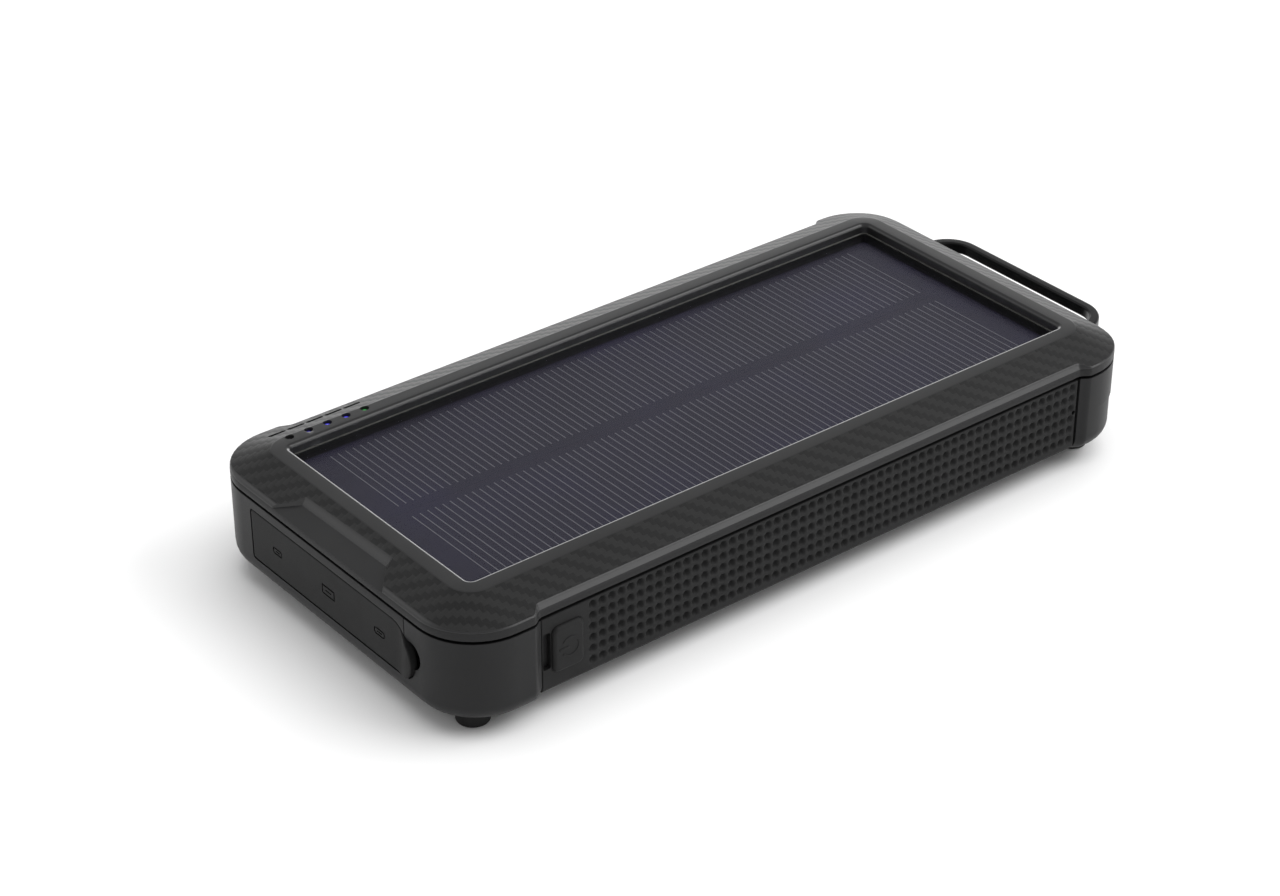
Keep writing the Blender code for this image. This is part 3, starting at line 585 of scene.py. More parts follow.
def chosen(material, factor, low, high):
    """The low value where the factor is 0 and the high one where it is 1."""
    pick = node(material, "ShaderNodeMix", data_type="FLOAT")
    for socket, source in (("Factor", factor), ("A", low), ("B", high)):
        wire_up(material, source, pick.inputs[socket])
    return pick.outputs["Result"]


def tow_height(material, across, run):
    """Crowned across the tow's width, and bowed along the two cells where it lies on top."""
    middle = maths(material, "SUBTRACT", maths(material, "FRACT", across), 0.5)
    crown = maths(material, "MULTIPLY_ADD", maths(material, "MULTIPLY", middle, middle), -2.2, 0.6)
    bow = maths(material, "SINE", maths(material, "MULTIPLY", run, math.pi / 2))
    return maths(material, "MULTIPLY_ADD", bow, 0.4, crown)


def fibre_noise(material, where, warp_up):
    """Fine lines along the tow that is on top."""
    along_y = noise(material, where, 0.3, 2.0, (2.2, 0.35, 0.35))
    along_x = noise(material, where, 0.3, 2.0, (0.35, 2.2, 0.35))
    return chosen(material, warp_up, along_x, along_y)


def rubber_material():
    tones = ((0.3, (0.0080, 0.0080, 0.0080)), (0.7, (0.0115, 0.0115, 0.0118)))
    return grained_material("rubber_soft_touch", (0.009, 0.009, 0.009), 0.6, (0.12, 3.0), (6.0, 3.0),
                            tones, (0.52, 0.68), 0.010, 0.2)


def bail_material():
    tones = ((0.3, (0.0045, 0.0045, 0.0048)), (0.7, (0.0065, 0.0065, 0.0068)))
    return grained_material("bail_satin_black", (0.006, 0.006, 0.0065), 0.3, (0.4, 3.0), (5.0, 2.0),
                            tones, (0.24, 0.36), 0.006, 0.25)


def sealant_material():
    """The thin bead that shows between the window's wall and the panel."""
    made = new_material("window_sealant", (0.05, 0.05, 0.048), 0.2)
    where = position(made)
    wave = noise(made, where, 1.5)
    colours(made, wave, ((0.3, (0.035, 0.035, 0.033)), (0.7, (0.060, 0.060, 0.056))))
    roughen(made, wave, 0.12, 0.26)
    bump(made, wave, 0.02)
    return made


def cell_material():
    """Dark silicon with a faint violet coating that varies slowly over the cell."""
    tones = ((0.25, (0.0125, 0.0115, 0.0190)), (0.5, (0.0150, 0.0135, 0.0235)),
             (0.75, (0.0150, 0.0130, 0.0300)))
    return grained_material("silicon_cell", (0.012, 0.010, 0.020), 0.35, (0.5, 3.0), (22.0, 2.0),
                            tones, (0.30, 0.42), 0.003, 0.1)


def backing_material():
    tones = ((0.3, (0.0130, 0.0125, 0.0175)), (0.7, (0.0160, 0.0150, 0.0215)))
    return grained_material("panel_backing", (0.014, 0.013, 0.019), 0.4, (0.4, 2.0), (12.0, 2.0),
                            tones, (0.34, 0.46), 0.004, 0.1)


def finger_material():
    made = new_material("silver_paste", (0.12, 0.12, 0.13), 0.45, 0.4)
    where = position(made)
    grain = noise(made, where, 0.25, 2.0)
    colours(made, grain, ((0.3, (0.11, 0.11, 0.118)), (0.7, (0.16, 0.16, 0.168))))
    roughen(made, grain, 0.38, 0.52)
    return made


def window_material():
    """A clear laminated sheet: see-through, with a satin reflection that grows at low angles."""
    made = bpy.data.materials.new("clear_laminate")
    made.use_nodes = True
    nodes = made.node_tree.nodes
    nodes.remove(nodes["Principled BSDF"])
    clear = node(made, "ShaderNodeBsdfTransparent")
    clear.inputs["Color"].default_value = (0.93, 0.93, 0.95, 1.0)
    gloss = node(made, "ShaderNodeBsdfAnisotropic")
    gloss.inputs["Color"].default_value = (0.92, 0.92, 1.0, 1.0)
    where = position(made)
    grain = noise(made, where, 0.35, 2.0)
    wire_up(made, between(made, grain, 0.12, 0.18), gloss.inputs["Roughness"])
    tilt = node(made, "ShaderNodeLayerWeight")
    share = maths(made, "MULTIPLY_ADD", maths(made, "POWER", tilt.outputs["Facing"], 4.0), 0.35, 0.015)
    mix = node(made, "ShaderNodeMixShader")
    wire_up(made, share, mix.inputs["Fac"])
    wire_up(made, clear.outputs[0], mix.inputs[1])
    wire_up(made, gloss.outputs[0], mix.inputs[2])
    wire_up(made, mix.outputs[0], nodes["Material Output"].inputs["Surface"])
    return made


def light_pipe_material(name, centre, body, core, painted_glint, glow):
    """Tinted clear plastic that glows, with a painted glint at a spot beside its middle, and darkens out to
    its rim.
    """
    made = new_material(name, body, 0.12, Emission_Strength=glow)
    where = position(made)
    glint_spot = node(made, "ShaderNodeVectorMath", operation="DISTANCE")
    wire_up(made, where, glint_spot.inputs[0])
    glint_spot.inputs[1].default_value = centre
    cloud = noise(made, where, 0.5, 2.0)
    reach = maths(made, "MULTIPLY_ADD", cloud, 0.15, glint_spot.outputs["Value"])
    # The first stop is a painted glint: a highlight colour that is also emitted.
    stops = ((0.10, painted_glint), (0.26, core), (0.72, body), (1.0, tuple(0.15 * level for level in body)))
    colour = colours(made, reach, stops)
    roughen(made, cloud, 0.08, 0.20)
    if glow:
        wire_up(made, colour, principled(made).inputs["Emission Color"])
    return made


def speckled_material(name, low, high, roughness, metallic=0.0, size=0.4, relief=0.006, stretch=None):
    """The shared recipe of the small inner parts: two tones of fine noise that also drive the gloss."""
    made = new_material(name, low, roughness, metallic)
    where = position(made)
    grain = noise(made, where, size, 3.0, stretch)
    colours(made, grain, ((0.3, low), (0.7, high)))
    roughen(made, grain, roughness - 0.06, roughness + 0.08)
    bump(made, grain, relief)
    return made


def circuit_board_material():
    """Green solder mask over copper tracks that show as slightly lighter bands."""
    made = new_material("solder_mask", (0.008, 0.070, 0.030), 0.35)
    where = position(made)
    tracks = node(made, "ShaderNodeTexBrick")
    tracks.inputs["Scale"].default_value = 0.45
    tracks.inputs["Mortar Size"].default_value = 0.05
    tracks.inputs["Color1"].default_value = (0.006, 0.055, 0.022, 1.0)
    tracks.inputs["Color2"].default_value = (0.008, 0.070, 0.030, 1.0)
    tracks.inputs["Mortar"].default_value = (0.016, 0.120, 0.050, 1.0)
    wire_up(made, where, tracks.inputs["Vector"])
    wire_up(made, tracks.outputs["Color"], principled(made).inputs["Base Color"])
    roughen(made, noise(made, where, 0.6), 0.28, 0.42)
    bump(made, tracks.outputs["Fac"], 0.03)
    return made


def pouch_material():
    """Aluminium laminate film with the soft creases of a vacuum-sealed cell."""
    made = new_material("pouch_film", (0.55, 0.56, 0.58), 0.32, 0.8)
    where = position(made)
    crease = noise(made, where, 7.0, 4.0)
    colours(made, crease, ((0.3, (0.50, 0.51, 0.53)), (0.7, (0.62, 0.63, 0.65))))
    roughen(made, crease, 0.26, 0.42)
    bump(made, crease, 0.25)
    return made


# ---------------------------------------------------------------- case

def plan_points(half_x, half_y, radius, step=0.0):
    """One loop round the case as (x, y, side weight, end weight).

    The side weight is 1 on the set-in long sides; the end weight is 1 on the two straight ends.
    """
    points = []
    side = []
    for i in range(LOBE_STEPS + 1):
        share = i / LOBE_STEPS
        side.append((LOBE_FAR_X - LOBE_RUN * share, half_y - step * eased(share), eased(share)))
    for i in range(LOBE_STEPS + 1):
        share = 1 - i / LOBE_STEPS
        side.append((LOBE_NEAR_X + LOBE_RUN * share, half_y - step * eased(share), eased(share)))
    for sign_x, sign_y, start in CORNERS:
        for i in range(CORNER_STEPS + 1):
            turn = 90.0 * i / CORNER_STEPS
            angle = math.radians(start + turn)
            from_end = turn if start in (0, 180) else 90.0 - turn
            points.append((sign_x * (half_x - radius) + radius * math.cos(angle),
                           sign_y * (half_y - radius) + radius * math.sin(angle),
                           0.0, 1.0 - eased(from_end / 40.0)))
        if start == 0:
            points += [(x, y, weight, 0.0) for x, y, weight in side]
        if start == 180:
            points += [(x, -y, weight, 0.0) for x, y, weight in reversed(side)]
    return points


def plain_ring(half_x, half_y, radius, z, step=0.0):
    return [(x, y, z) for x, y, *_ in plan_points(half_x, half_y, radius, step)]


def outer_ring(inset, z, end_inset=0.0):
    reach = HALF_X - CORNER_R
    depth = CORNER_R - inset
    ring = plain_ring(HALF_X - inset, HALF_Y - inset, CORNER_R - inset, z, SIDE_STEP)
    return [(x - end_inset * max(0.0, x - reach) / depth, y, z) for x, y, z in ring]


def edge_ring(index):
    """The cover's outer edge: its section differs between long sides, lobes and ends."""
    whole = plan_points(HALF_X, HALF_Y, CORNER_R, SIDE_STEP)
    inner = plan_points(HALF_X - 1, HALF_Y - 1, CORNER_R - 1, SIDE_STEP)
    ring = []
    for (x, y, side, end), (inner_x, inner_y, *_) in zip(whole, inner):
        inset, z = EDGE_LOBE[index]
        for weight, profile in ((side, EDGE_SIDE), (end, EDGE_END)):
            inset += weight * (profile[index][0] - inset)
            z += weight * (profile[index][1] - z)
        ring.append((x + (inner_x - x) * inset, y + (inner_y - y) * inset, z))
    return ring


def window_ring(grow, z):
    return plain_ring(WINDOW_X + grow, WINDOW_Y + grow, max(WINDOW_R + grow, 0.15), z)


def ledge_ring(z):
    return window_ring(-COVER_LEDGE_REACH, z)


def mixed_ring(a, b, share):
    return [tuple(Vector(p).lerp(Vector(q), share)) for p, q in zip(a, b)]


def cover_rings():
    """Skirt, edge, woven slope, smooth band, window wall, bead and inner side, and each band's material."""
    band_edge = window_ring(SMOOTH_BAND, RIM_Z - BAND_DROP)
    edge = [edge_ring(i) for i in range(len(EDGE_SIDE))]
    rings = [(outer_ring(0.0, SKIRT_Z), SHELL), (outer_ring(0.0, SKIRT_Z + 0.15), SHELL)]
    rings += list(zip(reversed(edge), EDGE_MARKS))
    rings.append((mixed_ring(edge[0], band_edge, 0.5), TWILL))
    rings.append((mixed_ring(edge[0], band_edge, 0.975), SMOOTH))
    rings.append((window_ring(SMOOTH_BAND - 0.12, RIM_Z - BAND_DROP + 0.03), SMOOTH))
    for i in range(5):
        angle = math.radians(22.5 * i)
        grow, drop = WINDOW_FILLET * (1 - math.sin(angle)), WINDOW_FILLET * (1 - math.cos(angle))
        # The upper bands of the window's fillet take the lip material with its painted highlight.
        rings.append((window_ring(grow, RIM_Z - drop), LIP if i < 3 else SMOOTH))
    rings += [(window_ring(grow, PANEL_HIGH.z + rise), mark) for grow, rise, mark in BEAD]
    inner = [
        window_ring(0.0, COVER_LEDGE_Z),
        ledge_ring(COVER_LEDGE_Z),
        ledge_ring(COVER_LEDGE_Z - COVER_WALL),
        window_ring(COVER_WALL, COVER_LEDGE_Z - COVER_WALL),
        window_ring(COVER_WALL, COVER_CAVITY_Z[0]),
        plain_ring(*COVER_CAVITY, COVER_CAVITY_Z[1]),
        plain_ring(*COVER_CAVITY, SKIRT_Z + 0.35),
        plain_ring(*COVER_MOUTH, SKIRT_Z + 0.35),
        plain_ring(*COVER_MOUTH, SKIRT_Z),
    ]
    rings += [(ring, SMOOTH) for ring in inner]
    return [ring for ring, _ in rings], [mark for _, mark in rings]


def notch_mesh():
    """The thumb notch in the near end's slope: slanted walls, and a floor that runs out at the lip."""
    bm = bmesh.new()
    rows = []
    for corners in (NOTCH_FLOOR[:2], NOTCH_FLOOR[2:], NOTCH_TOP[2:], NOTCH_TOP[:2]):
        rows.append([bm.verts.new(corner) for corner in corners])
    for low, high in zip(rows, rows[1:] + rows[:1]):
        bm.faces.new((low[0], low[1], high[1], high[0]))
    bm.faces.new([row[0] for row in rows])
    bm.faces.new([row[1] for row in rows])
    return finish_mesh(bm, "notch")


def light_places():
    """Centre of each light pipe, from the frame."""
    return [middle_mm(f"light_pipe_{index}") for index in range(1, LIGHT_COUNT + 1)]


def mark_mesh(place):
    """A short slot in the woven slope beside its light."""
    outline = rounded_rect(3.6, 0.95, 0.45)
    rings = [[(x, y, z + 0.38 * y) for x, y in outline] for z in (-0.5, 2.0)]
    mesh = loft("mark", rings)
    mesh.transform(Matrix.Translation((place.x, MARK_Y, MARK_Z)))
    return mesh


def make_cover(materials):
    rings, marks = cover_rings()
    mesh = loft("case_cover", rings, closed=True, marked=marks)
    steps = [("DIFFERENCE", notch_mesh())]
    for place in light_places():
        hole = cylinder_mesh("light_hole", (place.x, place.y, 20.0), LIGHT_HOLE_R, 6.0)
        steps.append(("DIFFERENCE", hole))
        steps.append(("DIFFERENCE", mark_mesh(place)))
    mesh = combined(mesh, steps)
    mesh = softened(mesh, 0.09, 2, 32.0)
    add_piece("case_cover", mesh, "case", materials, ["top_cover"], 30.0)


def shell_rings():
    rings = [
        plain_ring(*SHELL_CAVITY, SHELL_FLOOR_Z),
        plain_ring(*SHELL_CAVITY, SHELL_SHOULDER_Z),
        plain_ring(*SHELL_MOUTH, SHELL_SHOULDER_Z),
        plain_ring(*SHELL_MOUTH, SHELL_TOP - 0.5),
    ]
    rings += [outer_ring(inset, SHELL_TOP - drop) for inset, drop in SHELL_EDGE]
    rings += [
        outer_ring(0.0, END_STEP_Z + 0.08),
        outer_ring(0.0, END_STEP_Z, 0.12),
        outer_ring(0.0, END_STEP_Z - 0.1, END_STEP),
    ]
    for i in range(9):
        angle = math.radians(11.25 * i)
        inset = BOTTOM_R * (1 - math.cos(angle))
        rings.append(outer_ring(inset, BOTTOM_R * (1 - math.sin(angle)), END_STEP))
    return rings


def lug_mesh(side):
    """A bail lug: a round nose about the pin, faired into the end wall."""
    centre = middle_mm("bail_pin_left" if side > 0 else "bail_pin_right")
    nose_r = SHELL_HIGH.x - centre.x
    outline = arc((centre.x, centre.z), nose_r, -90, 90, 16)
    root = HALF_X - 1.2
    outline += [(root, centre.z + nose_r), (root, centre.z - nose_r)]
    mesh = extruded("lug", outline, -LUG_WIDTH / 2, LUG_WIDTH / 2)
    mesh.transform(Matrix.Translation((0.0, side * LUG_Y, 0.0)) @ AXES["y"])
    return flipped_if_needed(mesh)


def flap_outline():
    """The flap as (y, z) points seen from its rear: square at the hinge, a D at the thumb end."""
    high_y, low_z, high_z = FLAP_HIGH.y, FLAP_LOW.z, FLAP_HIGH.z
    points = [(high_y - 0.5, low_z), (high_y - 0.15, low_z + 0.15), (high_y, low_z + 0.5),
              (high_y, high_z - 0.5), (high_y - 0.15, high_z - 0.15), (high_y - 0.5, high_z)]
    points += [(y, z) for y, z in FLAP_END if z > low_z]
    points.append((FLAP_END[-1][0] + 1.6, low_z))
    return points


def grown(points, amount):
    """A convex anticlockwise outline moved outwards."""
    moved = []
    for i, point in enumerate(points):
        before = (Vector(point) - Vector(points[i - 1])).normalized()
        after = (Vector(points[(i + 1) % len(points)]) - Vector(point)).normalized()
        along = (before + after).normalized()
        reach = amount / max(along.dot(after), 0.5)
        moved.append((point[0] + along.y * reach, point[1] - along.x * reach))
    return moved


def wall_plate(name, outline, rings):
    """A plate standing on the end wall: rings are (grow, x) for an outline of (y, z) points."""
    return loft(name, [[(x, y, z) for y, z in grown(outline, grow)] for grow, x in rings])


def port_cuts():
    """The flap's recess, the finger scoop, the socket mouths, the strap slot and the parting line."""
    floor_x = -HALF_X + FLAP_THICK + GAP
    cuts = [wall_plate("recess", flap_outline(), [(FLAP_GAP, -HALF_X - 1.0), (FLAP_GAP, floor_x)])]
    scoop = turned("scoop", SCOOP_PROFILE, (0.0, 0.0, 0.0), 40)
    scoop.transform(Matrix.Translation((-HALF_X, SCOOP_Y, SCOOP_Z)) @ AXES["x"])
    cuts.append(flipped_if_needed(scoop))
    for name in ("usb_a", "micro_usb", "usb_c"):
        low, high = box_mm(f"{name}_shell")
        centre = (low + high) / 2
        outline = rounded_rect(high.y - low.y + 2 * GAP, high.z - low.z + 2 * GAP, 0.9)
        mouth = extruded("mouth", outline, -4.0, 4.0)
        cuts.append(on_end_wall(mouth, -HALF_X + 3.0, centre.y, centre.z))
    low, high = box_mm("flap_anchor")
    slot_low = (-HALF_X + 1, low.y + SLOT_TRIM[0], low.z - GAP)
    cuts.append(box_mesh("slot", slot_low, (-HALF_X + 5, high.y - SLOT_TRIM[1], high.z + GAP)))
    cuts.append(box_mesh("parting_line", (-HALF_X - 1.0, PARTING_Y[0], 12.0),
                         (-HALF_X + 0.2, PARTING_Y[1], SHELL_TOP + 1.0)))
    return cuts


def grip_recess(side):
    low = [GRIP_LOW.x - GAP, -GRIP_HIGH.y - GAP, GRIP_LOW.z - GAP]
    high = [GRIP_HIGH.x + GAP, HALF_Y + 2, SHELL_TOP + 2]
    if side < 0:
        low[1], high[1] = -high[1], -low[1]
    return box_mesh("grip_recess", low, high)


def make_shell(materials):
    mesh = loft("case_shell", shell_rings())
    steps = [("UNION", lug_mesh(side)) for side in (-1, 1)]
    steps += [("DIFFERENCE", grip_recess(side)) for side in (-1, 1)]
    steps += [("DIFFERENCE", cut) for cut in port_cuts()]
    pin = middle_mm("bail_pin_left")
    for side in (-1, 1):
        bore = cylinder_mesh("bore", (pin.x, side * LUG_Y, pin.z), PIN_BORE_R, 6.0, "y")
        steps.append(("DIFFERENCE", bore))
    for index in range(1, FOOT_COUNT + 1):
        low, high = box_mm(f"foot_{index}")
        centre = (low + high) / 2
        radius = (high.x - low.x) / 2 + GAP
        steps.append(("DIFFERENCE", cylinder_mesh("seat", (centre.x, centre.y, -0.55), radius, 2.9)))
    low = (BUTTON_LOW.x - 0.3, -37.0, BUTTON_LOW.z - 0.3)
    high = (BUTTON_HIGH.x + 0.3, -35.0, BUTTON_HIGH.z + 0.3)
    steps.append(("DIFFERENCE", box_mesh("button_room", low, high)))
    mesh = combined(mesh, steps)
    mesh = softened(mesh, 0.14, 2, 40.0)
    add_piece("case_shell", mesh, "case", materials, ["main_shell"], 30.0)


# ---------------------------------------------------------------- grips and button

class Grid:
    """A flat face made of cells that share their corners and edge middles."""

    def __init__(self, front):
        self.bm = bmesh.new()
        self.front = front
        self.made = {}

    def vert(self, x, z):
        key = (round(x, 4), round(z, 4))
        if key not in self.made:
            self.made[key] = self.bm.verts.new((x, self.front, z))
        return self.made[key]

    def plain_cell(self, x0, x1, z0, z1):
        mid_x, mid_z = (x0 + x1) / 2, (z0 + z1) / 2
        places = ((x0, z0), (mid_x, z0), (x1, z0), (x1, mid_z), (x1, z1), (mid_x, z1), (x0, z1), (x0, mid_z))
        self.bm.faces.new([self.vert(x, z) for x, z in places])

    def dimple_cell(self, x0, x1, z0, z1, centre, inwards):
        """A cell with a round dimple: four faces about it, then rings down to a flat bottom."""
        mid_x, mid_z = (x0 + x1) / 2, (z0 + z1) / 2
        rings = []
        for radius, depth in DIMPLE_PROFILE:
            turn = [2 * math.pi * i / DIMPLE_SEGMENTS for i in range(DIMPLE_SEGMENTS)]
            rings.append([self.bm.verts.new((centre[0] + radius * math.cos(a), self.front + inwards * depth,
                                             centre[1] + radius * math.sin(a))) for a in turn])
        corners = ((x1, z1), (x0, z1), (x0, z0), (x1, z0))
        middles = ((x1, mid_z), (mid_x, z1), (x0, mid_z), (mid_x, z0))
        quarter = DIMPLE_SEGMENTS // 4
        for i in range(4):
            arc = [rings[0][(i * quarter + k) % DIMPLE_SEGMENTS] for k in range(quarter + 1)]
            outer = [middles[(i + 1) % 4], corners[i], middles[i]]
            self.bm.faces.new(arc + [self.vert(x, z) for x, z in outer])
        for low, high in zip(rings, rings[1:]):
            for i in range(DIMPLE_SEGMENTS):
                j = (i + 1) % DIMPLE_SEGMENTS
                self.bm.faces.new((low[i], low[j], high[j], high[i]))
        self.bm.faces.new(rings[-1])


def dimpled_plate(side):
    """A grip: a face of dimples with its rim rounded back to a flat rear."""
    inwards = -side
    grid = Grid(side * GRIP_HIGH_Y)
    lines_x = [GRIP_LOW.x + GRIP_EDGE]
    lines_x += [DIMPLE_FIRST_X + DIMPLE_PITCH_X * (i - 0.5) for i in range(DIMPLE_COLUMNS + 1)]
    lines_x.append(GRIP_HIGH.x - GRIP_EDGE)
    for column, (x0, x1) in enumerate(zip(lines_x, lines_x[1:])):
        for row, (z1, z0) in enumerate(zip(DIMPLE_LINES_Z, DIMPLE_LINES_Z[1:])):
            if 0 < column <= DIMPLE_COLUMNS and row < len(DIMPLE_ROWS_Z):
                grid.dimple_cell(x0, x1, z0, z1, ((x0 + x1) / 2, DIMPLE_ROWS_Z[row]), inwards)
            else:
                grid.plain_cell(x0, x1, z0, z1)
    close_plate(grid.bm, GRIP_EDGE, inwards)
    return finish_mesh(grid.bm, "grip")


def close_plate(bm, edge, inwards):
    """Rounds the plate's rim in steps, then runs it straight back and closes the rear."""
    low_x, high_x = GRIP_LOW.x + edge, GRIP_HIGH.x - edge
    high_z, low_z = DIMPLE_LINES_Z[0], DIMPLE_LINES_Z[-1]
    drop = low_z - GRIP_LOW.z
    rise = GRIP_HIGH.z - high_z
    rim = [e for e in bm.edges if e.is_boundary]
    start = {v: v.co.copy() for e in rim for v in e.verts}
    for angle in (30.0, 60.0, 90.0, None):
        made = bmesh.ops.extrude_edge_only(bm, edges=rim)["geom"]
        rim = [g for g in made if isinstance(g, bmesh.types.BMEdge) and g.is_boundary]
        moved = {}
        for vert in {v for e in rim for v in e.verts}:
            below = min(start, key=lambda s: (s.co - vert.co).length_squared)
            moved[vert] = start[below]
        for vert, first in moved.items():
            turn = math.radians(90.0 if angle is None else angle)
            out, back = math.sin(turn), 1 - math.cos(turn)
            x, y, z = first
            reach = 0.0
            if abs(first.x - low_x) < 1e-4:
                x, reach = first.x - edge * out, edge
            if abs(first.x - high_x) < 1e-4:
                x, reach = first.x + edge * out, edge
            if abs(first.z - high_z) < 1e-4:
                z, reach = first.z + rise * out, max(reach, rise)
            if abs(first.z - low_z) < 1e-4:
                z, reach = first.z - drop * out, max(reach, drop)
            y = first.y + inwards * (GRIP_THICK if angle is None else reach * back)
            vert.co = (x, y, z)
        start = {vert: moved[vert] for vert in moved}
    bmesh.ops.contextual_create(bm, geom=rim)


def make_grips(materials):
    plain = dimpled_plate(1)
    add_piece("grip_plain_side", plain, "case", materials, ["side_grip_plain_side"])
    centre_x, _, centre_z = middle_mm("power_button")
    pad_x, pad_z = centre_x + PAD_SHIFT[0], centre_z + PAD_SHIFT[1]
    outline = rounded_rect(PAD_SIZE[0] + 0.1, PAD_SIZE[1] + 0.1, PAD_R + 0.05)
    opening = extruded("opening", outline, -3.0, 3.0)
    groove = extruded("groove", rounded_rect(1.6, 7.3, 0.4), -1.0, 3.0)
    lone = cylinder_mesh("lone", (GRIP_HIGH.x - 0.72, GRIP_LOW.y + 0.1, 9.25), 0.44, 1.1, "y", 16)
    steps = [
        ("DIFFERENCE", on_button_side(opening, pad_x, GRIP_LOW.y, pad_z)),
        ("DIFFERENCE", on_button_side(groove, centre_x - 4.5, GRIP_LOW.y, centre_z + 0.35)),
        ("DIFFERENCE", lone),
    ]
    mesh = combined(dimpled_plate(-1), steps)
    add_piece("grip_button_side", mesh, "case", materials, ["side_grip_button_side"])


def arc_band(radius, width, start, end, low, high, steps=28):
    """Part of a flat ring, between two angles in degrees."""
    outline = []
    for reach, order in ((radius + width / 2, 1), (radius - width / 2, -1)):
        outline += arc((0.0, 0.0), reach, start, end, steps)[::order]
    return extruded("arc", outline, low, high)


def make_button(materials):
    """The raised pad with the generic on-off sign standing on it, over its flange and stem."""
    centre_x, _, centre_z = middle_mm("power_button")
    front = BUTTON_LOW.y + 0.1
    plate = pad_mesh("pad", *PAD_SIZE, PAD_R, -2.0, 0.0, 0.75, 6)
    pad = on_button_side(plate, centre_x + PAD_SHIFT[0], front, centre_z + PAD_SHIFT[1])
    ring = arc_band(SIGN_R, SIGN_LINE, -SIGN_OPENING, SIGN_OPENING, -0.2, SIGN_RELIEF)
    ring = on_button_side(ring, centre_x, front, centre_z)
    bar = box_mesh("bar", (centre_x - 2.3, front - SIGN_RELIEF, centre_z - SIGN_LINE / 2),
                   (centre_x - 0.3, front + 0.2, centre_z + SIGN_LINE / 2))
    flange = box_mesh("flange", (BUTTON_LOW.x, FLANGE_Y[0], BUTTON_LOW.z),
                      (BUTTON_HIGH.x, FLANGE_Y[1], BUTTON_HIGH.z))
    stem = cylinder_mesh("stem", (centre_x, -34.9, centre_z), 1.2, 2.0, "y", 24)
    mesh = combined(pad, [("UNION", part) for part in (ring, bar, flange, stem)])
    mesh = softened(mesh, 0.05, 2, 50.0)
    add_piece("power_button_pad", mesh, "button", materials, ["power_button"])


# ---------------------------------------------------------------- flap, bail and feet

def make_flap(materials):
    """The port flap: plate with its thumb lip, a plug for each socket and a small outline over each."""
    back_x, edge = -HALF_X + FLAP_THICK, 0.22
    rings = [(0.0, back_x), (0.0, -HALF_X + edge), (-0.03, -HALF_X + 0.13), (-0.1, -HALF_X + 0.05),
             (-edge, -HALF_X)]
    plate = bent_lip(wall_plate("plate", flap_outline(), rings))
    mid_z = (FLAP_LOW.z + FLAP_HIGH.z) / 2
    steps = []
    shapes = {"usb_a": (3.6, 1.7, 0.15), "micro_usb": (2.6, 1.1, 0.4), "usb_c": (3.0, 1.2, 0.6)}
    for name, shape in shapes.items():
        low, high = box_mm(f"{name}_shell")
        centre = (low + high) / 2
        plug = ((high.y - low.y) / 2 - 1.3, (high.z - low.z) / 2 - 0.9)
        plug_low = (-HALF_X + FLAP_THICK - 0.3, centre.y - plug[0], centre.z - plug[1])
        plug_high = (low.x + 1.2, centre.y + plug[0], centre.z + plug[1])
        steps.append(("UNION", box_mesh("plug", plug_low, plug_high, 0.2)))
        steps += [("DIFFERENCE", cut) for cut in socket_outline(centre.y, mid_z, *shape)]
    mesh = combined(plate, steps)
    add_piece("port_flap_cover", mesh, "flap", materials, ["port_flap"])


def bent_lip(mesh):
    """The plate with its thumb end bent smoothly outwards."""
    proud = 0.8 * (-FLAP_LOW.x - HALF_X)
    bm = bmesh.new()
    bm.from_mesh(mesh)
    for step in range(9):
        place = Vector((0.0, BEND_START_Y - BEND_RUN * step / 8, 0.0))
        bmesh.ops.bisect_plane(bm, geom=bm.verts[:] + bm.edges[:] + bm.faces[:], plane_co=place,
                               plane_no=(0.0, 1.0, 0.0))
    for vert in bm.verts:
        below_top = eased((BEND_TOP_Z - vert.co.z) / BEND_FADE)
        vert.co.x -= proud * below_top * eased((BEND_START_Y - vert.co.y) / BEND_RUN)
    bmesh.ops.triangulate(bm, faces=[face for face in bm.faces if len(face.verts) > 4])
    return finish_mesh(bm, "plate")


def socket_outline(y, z, wide, high, radius):
    """A shallow engraved outline of a socket's mouth, with its contact bar."""
    line = 0.32
    outer = extruded("outline", rounded_rect(wide + line, high + line, radius + line / 2), -0.22, 0.3)
    inner_radius = max(radius - line / 2, 0.05)
    inner = extruded("inner", rounded_rect(wide - line, high - line, inner_radius), -1.0, 1.0)
    frame_cut = combined(outer, [("DIFFERENCE", inner)])
    bar = extruded("bar", rounded_rect(wide * 0.5, 0.25, 0.1), -0.22, 0.3)
    return [on_end_wall(frame_cut, -HALF_X, y, z), on_end_wall(bar, -HALF_X, y, z)]


def make_flap_strap(material):
    """The rubber strap between the flap and its anchor."""
    low, high = box_mm("flap_anchor")
    mid_y = (low.y + SLOT_TRIM[0] + high.y - SLOT_TRIM[1]) / 2
    start_x, end_x = low.x + 1.2, -HALF_X + FLAP_THICK - 0.4
    steps = 12
    rings = []
    for i in range(steps + 1):
        x = start_x + (end_x - start_x) * i / steps
        rings.append([(x, mid_y + y, STRAP_Z + z) for y, z in rounded_rect(0.5, 4.2, 0.2, 3)])
    strap = add_free_piece("flap_strap", loft("flap_strap", rings), material)
    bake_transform(strap)


def add_free_piece(name, mesh, material):
    mesh.transform(Matrix.Scale(MM, 4))
    mesh.shade_smooth()
    mesh.materials.append(material)
    return linked(name, mesh)


